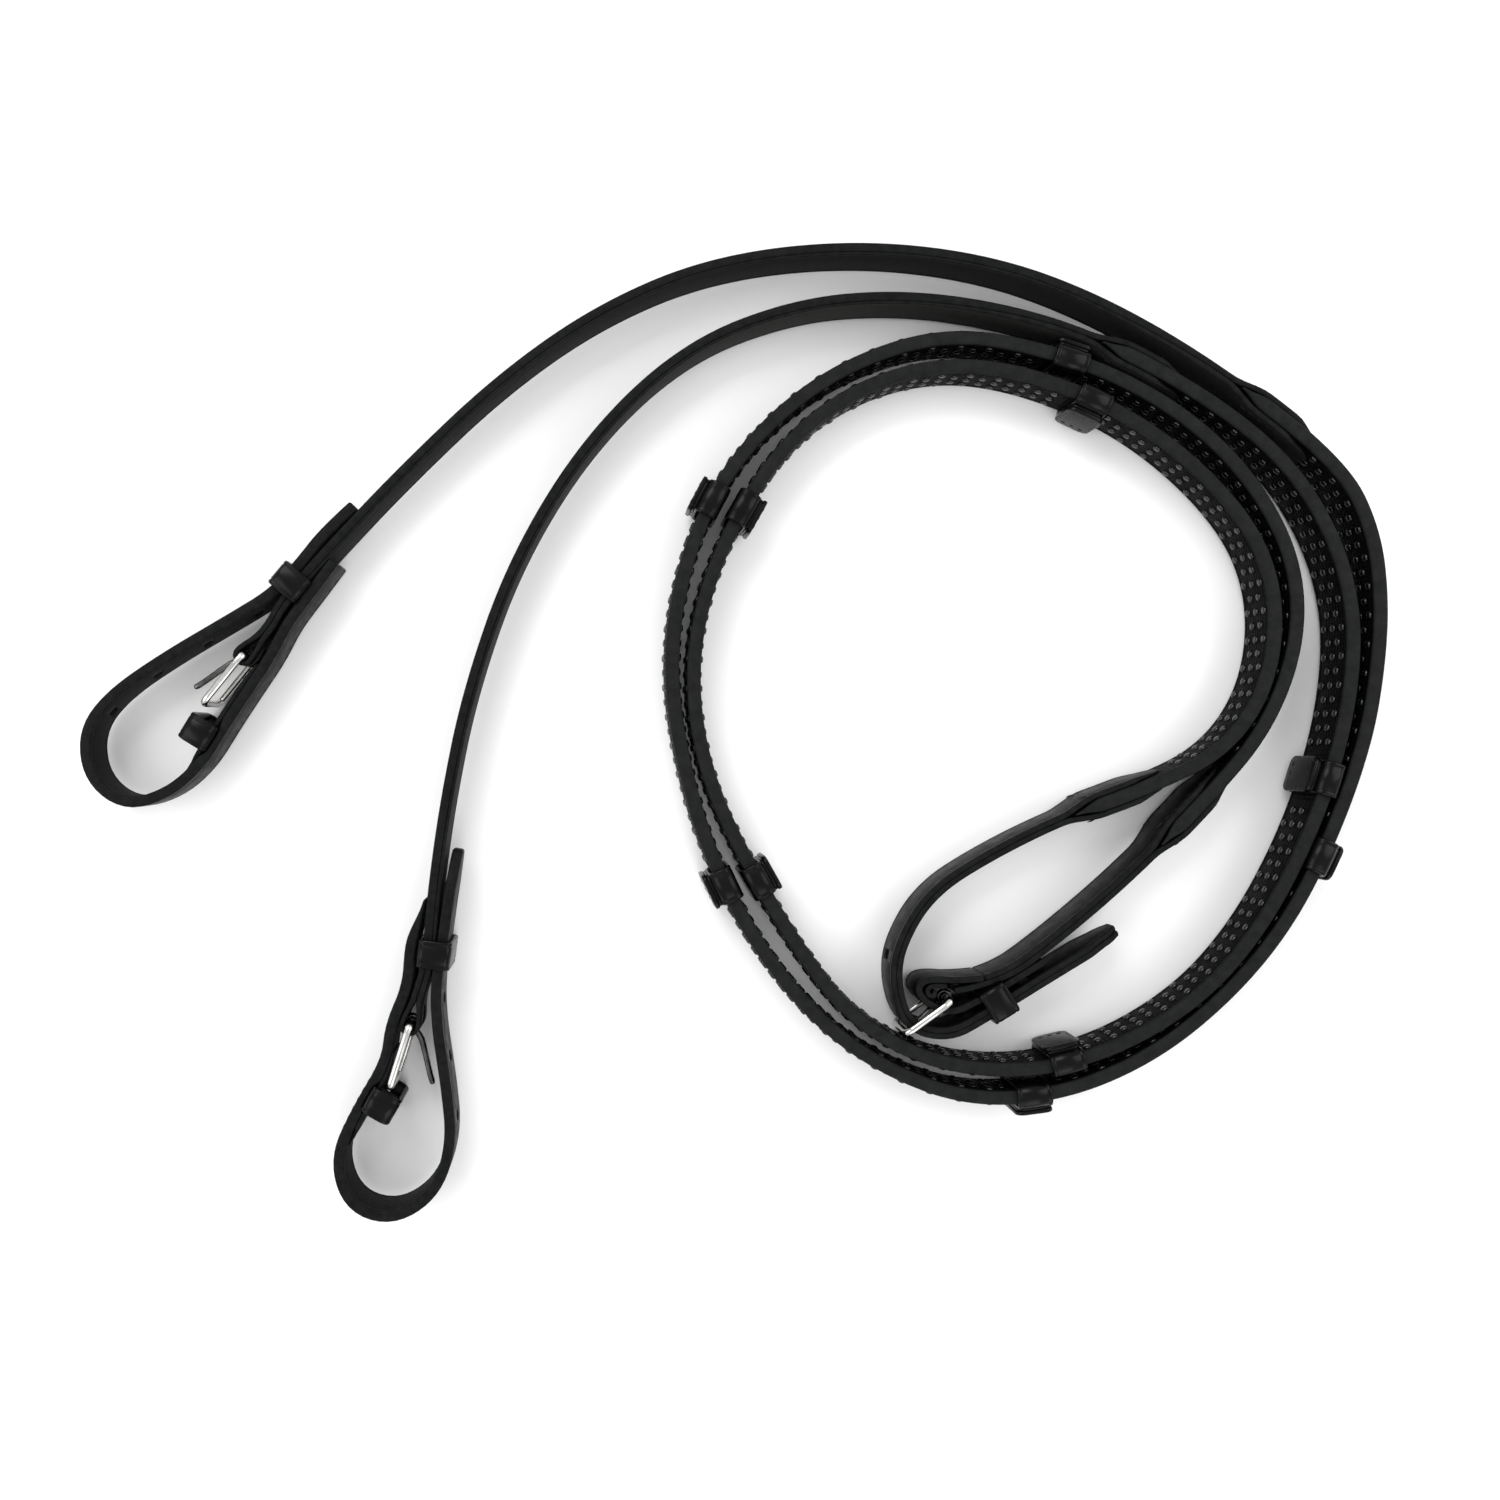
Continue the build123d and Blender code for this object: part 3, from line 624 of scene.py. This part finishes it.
def cut(piece, cutters):
    """Takes closed cutters out of a piece, and leaves their walls with the edge material."""
    vertices, faces = gathered(cutters)
    mesh = bpy.data.meshes.new("cutter")
    mesh.from_pydata([tuple(v) for v in vertices], [], faces)
    for material in piece.data.materials:
        mesh.materials.append(material)
    mesh.polygons.foreach_set("material_index", [len(piece.data.materials) - 1] * len(faces))
    face_outward(mesh)
    cutter = put_in_scene("cutter", mesh)
    change = piece.modifiers.new("cut", "BOOLEAN")
    change.operation = "DIFFERENCE"
    change.solver = "EXACT"
    change.object = cutter
    bpy.context.view_layer.update()
    result = bpy.data.meshes.new_from_object(piece.evaluated_get(bpy.context.evaluated_depsgraph_get()))
    piece.modifiers.remove(change)
    old = piece.data
    piece.data = result
    bpy.data.meshes.remove(old)
    bpy.data.objects.remove(cutter)
    bpy.data.meshes.remove(mesh)


def hole_cutter(route, station):
    """A round punch through a strap."""
    loops = [[(x, across, z) for x, z in circle(HOLE_RADIUS, 20)] for across in (-0.006, 0.006)]
    return route.place(station), loops


def slot_cutter(matrix, first, last, across):
    """A long slot through leather at mid height, for a buckle's tongue."""
    loops = []
    for side in (-across, across):
        section = rounded_loop(first, last, -SLOT_HALF, SLOT_HALF, SLOT_HALF * 0.95)
        loops.append([(x, side, z) for x, z in section])
    return matrix, loops


# ---------------------------------------------------------------- the two reins


class Rein:
    """One rein's routes, and the distances along them where things sit.

    side is 1 where the billet's outer face is on the left of its route, and -1 where it is on the right.
    """

    def __init__(self, name, points, billet_points, side, model_length, stations, buckle):
        self.name = name
        self.side = side
        self.route = Route(read_spline(name + "_route", points))
        self.billet = Route(read_spline(name + "_billet_route", billet_points))
        self.buckle = buckle
        scale = self.route.length / model_length
        self.grip = stations["grip"] * scale
        self.centre = stations["centre"] * scale
        self.keeper = self.route.nearest(name + "_upper_keeper")
        self.tip_keeper = self.billet.length - stations["tip_beyond_keeper"]
        self.lower_keeper = self.billet.nearest(name + "_lower_keeper")
        self.tab = stations["tab"]
        self.bar = self.route.at(0)[0][0]


NEAR = Rein(
    "near", REIN_1, BILLET_1, 1, 1.3946,
    {"grip": 0.390, "centre": 1.311, "tip_beyond_keeper": 0.0328, "tab": (0.0425, 0.086)},
    {"frame": 231.0, "reach": 0.0204, "tongue": 210.0, "tongue_reach": 0.0206, "bend": -0.001},
)
OFF = Rein(
    "off", REIN_2, BILLET_2, -1, 1.4846,
    {"grip": 0.390, "centre": 1.305, "tip_beyond_keeper": 0.0353, "tab": (0.0515, 0.087)},
    {"frame": 252.5, "reach": 0.0215, "tongue": 288.0, "tongue_reach": 0.0216, "bend": 0.001},
)
CENTRE_BAR = (0.0719, -0.0888)
CENTRE_ANGLE = 215.9
CENTRE_TONGUE_ANGLE = 223.2
CENTRE_REACH = 0.0179
CENTRE_FRAME = seat_at_angle(CENTRE_BAR, CENTRE_ANGLE)
CENTRE_TONGUE = seat_at_angle(CENTRE_BAR, CENTRE_TONGUE_ANGLE)
CENTRE_ROUTE = Route(read_spline("centre_roll_route", CENTRE_ROLL))
ROLL_SLOT = (-0.006, 0.009, 0.004)
NEAR_INNER_SHORT = 0.0106


def drawn_in(shape, tip, way=1):
    """Stops where a strap narrows to its tip. way is 1 where that is its far end, and -1 at its near end."""
    return [(tip - way * back, half) for back, half in shape][::way]


def ply_half(split, tip):
    """A ply's half width, drawn in a little to a rounded tip on the grip."""
    way = 1 if tip > split else -1
    return between(*sorted([(split, STRAP_HALF), *drawn_in(ROUNDED_TIP, tip, way)]))


def declare(route, first, last):
    """Reads the points along a stretch of a long, freely lying strap's route, and keeps none of them."""
    path = route.path(first, last)
    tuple(path[0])


def cheek_strap(rein):
    """Two plies from the upper keeper to their skived tips on the grip."""
    tip = rein.grip + SPLICE
    flesh_side = INNER_DARK if rein is NEAR else INNER_GREY
    plies = (
        ("outer", 1, (SEAM, PLY), (SHADED_FACE, SHADED_FACE, LIT_EDGE)),
        ("inner", -1, (-PLY, SEAM), (SHADED_FACE, flesh_side, LIT_EDGE)),
    )
    for ply, side, together, looks in plies:
        name = f"{rein.name}_cheek_{ply}_ply"
        faces = ply_faces(rein.grip, tip, together, side)
        piece = strap(name + "_leather", rein.route, rein.keeper, tip, *faces, half=ply_half(rein.grip, tip),
                      materials=looks, nodes=(name,))
        declare(rein.route, rein.keeper, tip)


def ply_faces(split, tip, together, side):
    """A ply's two faces. Plies of unequal thickness even out before they open round the grip."""
    way = 1 if tip > split else -1
    opening = split - way * 0.004
    full = split + way * RAMP
    skive = tip - way * SKIVE
    against = side * (GRIP + 0.00005)
    inside, outside = together if side > 0 else reversed(together)
    inner = between(*sorted([(split - way * 0.06, inside), (opening, 0.0), (full, against), (tip, against)]))
    outer = between(*sorted([
        (opening, outside), (full, against + side * PLY), (skive, against + side * PLY),
        (tip, against + side * SKIVED),
    ]))
    return (inner, outer) if side > 0 else (outer, inner)


def grip_cover(rein):
    """The rubber cover, its ends drawn to a wedge between the plies, and rows of pimples on both faces."""
    first, last = rein.grip + 0.001, rein.centre - 0.001
    wedge = 0.0003
    half = between((first, wedge), (first + RAMP, GRIP), (last - RAMP, GRIP), (last, wedge))
    name = f"{rein.name}_grip_cover"
    piece = strap(name + "_rubber", rein.route, first, last, lambda s: -half(s), half, GRIP_HALF,
                  (SHADED_RUBBER_FACE, SHADED_RUBBER_FACE, LIT_RUBBER_EDGE), (name, f"{rein.name}_grip_core"), radius=0.0009,
                  crease=0.0018)
    declare(rein.route, first, last)
    pimples(rein, first + SPLICE, last - SPLICE)


def pimples(rein, first, last):
    """Staggered rubber nubs on both faces of the grip, clear of the hand stops."""
    pitch, radius, clear = 0.00490, 0.00125, 0.0075
    domes = ((1.15, -0.0001), (1.0, 0.00016), (0.92, 0.00042), (0.72, 0.0006), (0.4, 0.0007))
    rows = ((-0.0054, 0.0, 0.0054), (-0.0027, 0.0027))
    stops = [rein.route.nearest(f"{rein.name}_hand_stop_{number}") for number in STOPS]
    groups = []
    for column in range(int((last - first) / pitch)):
        station = first + column * pitch
        if any(abs(station - stop) < clear for stop in stops):
            continue
        for side in (1, -1):
            matrix = rein.route.place(station, side * GRIP)
            for row in rows[column % 2]:
                loops = []
                for share, lift in domes:
                    loops.append([(x, side * lift, row + z) for x, z in circle(share * radius, 12)])
                groups.append((matrix, loops))
    merged(f"{rein.name}_grip_pimples", groups, RUBBER_PIMPLE)


def hand_stop(rein, number):
    """A strip wrapped round the grip, with its doubled, sewn ends standing on one face."""
    node = f"{rein.name}_hand_stop_{number}"
    matrix = rein.route.place(rein.route.nearest(node))
    if rein.side < 0:
        matrix = matrix @ Matrix.Rotation(math.pi, 4, "X")
    inside = GRIP + 0.0003
    wrap = ring_loops(-inside, inside, (STOP_WALL, STOP_WALL), STOP_LENGTH, GRIP_HALF + 0.0002, 0.0030)
    solid(node + "_wrap", matrix, wrap, True, GLOSSY, nodes=(node,))
    under = slab_loops(0.0058, 0.0036, 0.0048, 0.0080, 0.0024)
    top = 0.0062
    upper = slab_loops(0.0062, 0.0047, top, 0.0082, 0.0026)
    merged(node + "_bar", [(matrix, under), (matrix, upper)], GLOSSY)
    seats = []
    for along in (-0.0032, 0.0, 0.0032):
        for height in (0.0056, -0.0056):
            seats.append((matrix @ Matrix.Translation((along, top, height)), stitch_loops(0.0022)))
    for along in (-0.0052, 0.0052):
        for height in (-0.0025, 0.0, 0.0025):
            spot = Matrix.Translation((along, top, height)) @ Matrix.Rotation(math.pi / 2, 4, "Y")
            seats.append((matrix @ spot, stitch_loops(0.0018)))
    merged(node + "_stitches", seats, THREAD)


def fold_line(route, end):
    """The line of a strap's end turned round the bar: down one side, round, and back."""
    stations = np.linspace(end, 0, 40)
    spread_out = between((0, FOLD_RADIUS), (FOLD_REACH, PLY / 2))(stations)
    points, tangents, normals = route.at(stations)
    leg = points + normals * spread_out[:, None]
    back = points - normals * spread_out[:, None]
    centre, forward, left = points[-1], tangents[-1], normals[-1]
    turn = []
    for step in range(1, 16):
        angle = math.pi * step / 16
        turn.append(centre + FOLD_RADIUS * (left * math.cos(angle) - forward * math.sin(angle)))
    return Route(np.concatenate([leg, np.array(turn), back[::-1]]))


def bit_chape(rein):
    """The cheek strap's end, folded round the buckle's bar and slotted for its tongue."""
    line = fold_line(rein.route, rein.keeper)
    leg = rein.keeper - FOLD_REACH
    thin = leg + 0.006
    half = between(
        (0, PLY / 2), (leg, PLY / 2), (thin, FOLD_HALF), (line.length - thin, FOLD_HALF),
        (line.length - leg, PLY / 2), (line.length, PLY / 2),
    )
    gap = 0.00002
    name = f"{rein.name}_bit_chape"
    piece = strap(name + "_leather", line, 0, line.length, lambda s: gap - half(s), lambda s: half(s) - gap,
                  step=0.0012, nodes=(name,))
    cut(piece, [slot_cutter(rein.route.place(0), -0.0050, 0.0062, 0.006)])


def billet(rein):
    """The strap that loops for the bit, hollowed under the lower keeper and punched near its tip."""
    length, keeper, hollow = rein.billet.length, rein.lower_keeper, 0.0012
    sewn_end = SKIVED if rein is OFF else 2 * BILLET
    thickness = between((0, sewn_end), (0.016, 2 * BILLET), (length, 2 * BILLET))
    dip = between(
        (0, 0.0), (keeper - 0.0057, 0.0), (keeper - 0.0046, hollow), (keeper + 0.0046, hollow),
        (keeper + 0.0057, 0.0), (length, 0.0),
    )
    if rein.side > 0:
        faces = (lambda s: dip(s) - BILLET, BILLET)
        looks = (SHADED_FACE, INNER_DARK, LIT_EDGE)
    else:
        faces = (lambda s: BILLET - thickness(s), lambda s: BILLET - dip(s))
        looks = (INNER_DARK, SHADED_FACE, LIT_EDGE)
    half = between((0, STRAP_HALF), *drawn_in(POINTED_TIP, length)) if rein is OFF else STRAP_HALF
    name = f"{rein.name}_billet"
    piece = strap(name + "_leather", rein.billet, 0, length, *faces, half=half, materials=looks,
                  nodes=(name,))
    first = rein.tip_keeper - FIRST_HOLE
    cut(piece, [hole_cutter(rein.billet, first + HOLE_PITCH * number) for number in range(4)])


def keeper_tab(rein):
    """The short lining on the billet's inner face that carries the lower keeper."""
    first, last = rein.tab
    near = BILLET + 0.00003
    thin = between((first, SKIVED), (first + 0.006, LINING), (last - 0.008, LINING), (last, SKIVED))
    if rein.side > 0:
        faces = (lambda s: -BILLET - thin(s), -near)
    else:
        faces = (near, lambda s: BILLET + thin(s))
    half = between((first, STRAP_HALF), (last - 0.010, STRAP_HALF), (last, 0.0045))
    name = f"{rein.name}_keeper_tab"
    strap(name + "_leather", rein.billet, first, last, *faces, half=half, nodes=(name,))


def keepers(rein):
    """The upper keeper round the cheek strap and the tip, and the empty lower one."""
    if rein.side > 0:
        round_stack = (-0.0023, 0.0064, (KEEPER_THIN, KEEPER_THICK))
        round_nothing = (-0.0098, -BILLET, (KEEPER_THICK, KEEPER_THIN))
    else:
        round_stack = (-0.0062, 0.0023, (KEEPER_THICK, KEEPER_THIN))
        round_nothing = (BILLET, 0.0098, (KEEPER_THIN, KEEPER_THICK))
    for level, matrix, reach, radius in (
        ("upper", rein.route.place(rein.keeper), round_stack, 0.0021),
        ("lower", rein.billet.place(rein.lower_keeper), round_nothing, 0.0030),
    ):
        name = f"{rein.name}_{level}_keeper"
        loops = ring_loops(*reach, KEEPER_LENGTH, KEEPER_INSIDE, radius)
        solid(name + "_loop", matrix, loops, True, GLOSSY, nodes=(name,))


def frame_line(reach):
    """Points round a buckle frame, from the bar to its far rail, with rounded corners."""
    corners = ((reach, RAIL_LEVEL, 90), (reach, -RAIL_LEVEL, 0), (0, -RAIL_LEVEL, -90), (0, RAIL_LEVEL, -180))
    spots = []
    for x, z, start in corners:
        cx = x - FRAME_CORNER if x > 0 else x + FRAME_CORNER
        cz = z - FRAME_CORNER if z > 0 else z + FRAME_CORNER
        for step in range(7):
            angle = math.radians(start - 90 * step / 6)
            spots.append((cx + FRAME_CORNER * math.cos(angle), cz + FRAME_CORNER * math.sin(angle)))
        if x == 0 and z < 0:
            spots += [(0, RAIL_LEVEL * level) for level in (-0.45, -0.2, 0.0, 0.2, 0.45)]
        elif x > 0 and z > 0:
            spots += [(reach, RAIL_LEVEL * level) for level in (0.45, 0.0, -0.45)]
        elif x > 0:
            spots += [(reach * share, -RAIL_LEVEL) for share in (0.65, 0.35)]
        else:
            spots += [(reach * share, RAIL_LEVEL) for share in (0.35, 0.65)]
    return spots


def wire_loop(name, matrix, reach, body, node):
    """A buckle frame: a wire loop, thickest at the bar it turns on and flattened at its sides."""
    at_end = 0.0008
    loops = []
    spots = frame_line(reach)
    for i, (x, z) in enumerate(spots):
        before, after = spots[i - 1], spots[(i + 1) % len(spots)]
        dx, dz = after[0] - before[0], after[1] - before[1]
        size = math.hypot(dx, dz)
        thick = BAR_RADIUS if x < at_end else WIRE_RADIUS
        flat = thick * (1.0 if x < at_end or x > reach - at_end else 0.82)
        ring = []
        for level, depth in circle(1.0, 16):
            ring.append((x + dz / size * flat * level, thick * depth, z - dx / size * flat * level))
        loops.append(ring)
    solid(name, matrix, loops, True, NICKEL, body, (node,))


def tongue(name, matrix, reach, bend, body):
    """A buckle tongue: an eye round the bar and a tapering blade with a slight bend."""
    section = [(TONGUE_BORE, 0.0009), (TONGUE_BORE + 0.0002, 0.0012)]
    section += [(TONGUE_EYE - 0.0004, 0.0012), (TONGUE_EYE, 0.0008)]
    rim = [(radius, -level) for radius, level in section] + list(reversed(section))
    eye = [[(x, y, level) for x, y in circle(radius, 24)] for radius, level in rim]
    solid(name + "_eye", matrix, eye, True, TONGUE_NICKEL, body)
    spine = between((0.002, 0.0), (reach * 0.3, bend), (reach, 0.0))
    width = between((0.002, 0.00105), (reach * 0.5, 0.00095), (reach, 0.0009))
    straight = np.linspace(0.0021, reach - 0.0004, 14)
    stations = np.concatenate([straight, [reach, reach + 0.0004, reach + 0.0006]])
    shrink = [1.0] * len(straight) + [0.9, 0.65, 0.2]
    blade = []
    for station, middle, full, size in zip(stations, spine(stations), width(stations), shrink):
        half, thick = full * size, 0.0012 * size
        outline = rounded_loop(-half, half, -thick, thick, half * 0.8)
        blade.append([(station, middle + y, z) for y, z in outline])
    solid(name + "_blade", matrix, blade, False, TONGUE_NICKEL, body, (name,))


def bit_buckle(rein):
    """A bit end's frame and tongue, each riding on its own body."""
    frame_name = f"{rein.name}_bit_buckle_frame"
    frame_seat = seat_at_angle(rein.bar, rein.buckle["frame"])
    wire_loop(frame_name + "_wire", frame_seat, rein.buckle["reach"], f"{rein.name}_buckle", frame_name)
    tongue_seat = seat_at_angle(rein.bar, rein.buckle["tongue"])
    tongue(f"{rein.name}_bit_buckle_tongue", tongue_seat, rein.buckle["tongue_reach"], rein.buckle["bend"],
           f"{rein.name}_tongue")


def bit_stitches(rein):
    """Thread rows down the billet stack, on its outer face and on the keeper tab."""
    skived_end = 0.018 if rein is OFF else 0.004
    name = f"{rein.name}_bit_stitches"
    seats = stitch_row(rein.billet, skived_end, rein.tab[1] - 0.002, rein.side * BILLET)
    merged(name + "_thread", seats, THREAD, nodes=(name,))
    last = rein.lower_keeper - 0.006
    seats = stitch_row(rein.billet, rein.tab[0] + 0.002, last, -rein.side * (BILLET + LINING))
    merged(f"{rein.name}_tab_stitches", seats, THREAD)


def splice_stitches(rein):
    """Thread rows through both plies and the grip, at each end of the grip."""
    margin, bare = 0.004, 0.013
    seats = []
    for face in (GRIP + PLY, -GRIP - PLY):
        seats += stitch_row(rein.route, rein.grip + margin, rein.grip + SPLICE - bare, face)
        seats += stitch_row(rein.route, rein.centre - SPLICE + bare, rein.centre - margin, face)
    name = f"{rein.name}_splice_stitches"
    merged(name + "_thread", seats, THREAD, nodes=(name,))


def centre_strap(rein, ply, side, end):
    """One ply from the grip to its end at the centre buckle."""
    tip = rein.centre - SPLICE
    together = (0.0, PLY) if side > 0 else (-PLY, 0.0)
    half = ply_half(rein.centre, tip)
    if rein is OFF:
        half = between(*drawn_in(ROUNDED_TIP, tip, -1), *drawn_in(POINTED_TIP, end))
    name = f"{rein.name}_centre_{ply}_ply"
    faces = ply_faces(rein.centre, tip, together, side)
    piece = strap(name + "_leather", rein.route, tip, end, *faces, half=half, nodes=(name,), step=0.002)
    declare(rein.route, tip, end)
    if rein is OFF:
        fastened = rein.route.nearest("centre_keeper") - 0.0104
        cutters = [hole_cutter(rein.route, fastened + gap) for gap in (-0.044, 0.0, 0.022)]
        cut(piece, [*cutters, slot_cutter(CENTRE_TONGUE, 0.009, 0.024, 0.0024)])
    elif ply == "outer":
        cut(piece, [slot_cutter(CENTRE_FRAME, *ROLL_SLOT)])


def centre_roll():
    """The roll of leather round the bar, with its inner lap."""
    piece = strap("centre_chape_leather", CENTRE_ROUTE, 0, CENTRE_ROUTE.length, -ROLL_HALF, ROLL_HALF,
                  step=0.0008, nodes=("centre_chape",))
    cut(piece, [slot_cutter(CENTRE_FRAME, *ROLL_SLOT)])
    lap = Route(read_spline("centre_lap_route", CENTRE_LAP))
    strap("centre_roll_lap", lap, 0, lap.length, -0.0008, 0.0008, step=0.0005)


def centre_buckle():
    """The fastened buckle, the keeper beside it and the thread that holds the roll."""
    wire_loop("centre_buckle_frame_wire", CENTRE_FRAME, CENTRE_REACH, "centre_buckle", "centre_buckle_frame")
    tongue("centre_buckle_tongue", CENTRE_TONGUE, CENTRE_REACH + 0.0002, 0.0, "centre_tongue")
    matrix = OFF.route.place(OFF.route.nearest_beside("centre_keeper", 0.00205))
    loops = ring_loops(-0.0023, 0.0067, (KEEPER_THICK, 0.0010), KEEPER_LENGTH, KEEPER_INSIDE, 0.0021)
    solid("centre_keeper_loop", matrix, loops, True, GLOSSY, nodes=("centre_keeper",))
    seats = stitch_row(CENTRE_ROUTE, 0.001, 0.022, ROLL_HALF)
    merged("centre_stitches_thread", seats, THREAD, nodes=("centre_stitches",))


# ---------------------------------------------------------------- stage


def floor():
    """A plain pale floor."""
    mesh = bpy.data.meshes.new("floor")
    size = 3.0
    mesh.from_pydata([(-size, -size, 0), (size, -size, 0), (size, size, 0), (-size, size, 0)], [], [range(4)])
    mesh.materials.append(new_material("pale_floor", (0.95, 0.95, 0.95), 0.9, specular=0.05)[0])
    put_in_scene("floor", mesh)


def lights():
    """An even pale room, with a soft lamp on each side."""
    world = bpy.data.worlds.new("studio")
    bpy.context.scene.world = world
    world.use_nodes = True
    world.node_tree.nodes["Background"].inputs["Color"].default_value = (1, 1, 1, 1)
    world.node_tree.nodes["Background"].inputs["Strength"].default_value = 0.80
    for name, place, size, power in (
        ("window_light", (-0.45, 0.8, 0.9), 0.75, 8.2),
        ("right_light", (0.95, 0.3, 0.8), 0.8, 4.8),
        ("front_light", (0.3, -0.95, 0.8), 0.8, 4.6),
        ("left_light", (-1.0, -0.2, 0.8), 0.8, 4.8),
    ):
        data = bpy.data.lights.new(name, "AREA")
        data.shape = "RECTANGLE"
        data.size = data.size_y = size
        data.energy = power
        lamp = put_in_scene(name, data)
        lamp.location = place
        lamp.rotation_euler = (-Vector(place)).to_track_quat("-Z", "Y").to_euler()
    bpy.context.scene.view_settings.view_transform = "Standard"


def camera():
    """Straight above, left of the middle, with the lens shifted to frame the whole coil."""
    distance, width = 0.44, 0.495
    data = bpy.data.cameras.new("camera")
    data.sensor_width = 36.0
    data.lens = data.sensor_width * distance / width
    data.shift_x = 0.100
    data.shift_y = -0.0067
    data.clip_start = 0.01
    eye = put_in_scene("camera", data)
    eye.location = (-0.0436, -0.0025, MID_Z + STRAP_HALF + distance)
    bpy.context.scene.camera = eye


for one in (NEAR, OFF):
    cheek_strap(one)
    grip_cover(one)
    for stop_number in STOPS:
        hand_stop(one, stop_number)
    bit_chape(one)
    billet(one)
    keeper_tab(one)
    keepers(one)
    bit_buckle(one)
    bit_stitches(one)
    splice_stitches(one)
centre_strap(NEAR, "outer", 1, NEAR.route.length)
centre_strap(NEAR, "inner", -1, NEAR.route.length - NEAR_INNER_SHORT)
centre_strap(OFF, "outer", 1, OFF.route.length)
centre_strap(OFF, "inner", -1, OFF.route.length)
centre_roll()
centre_buckle()
floor()
lights()
camera()
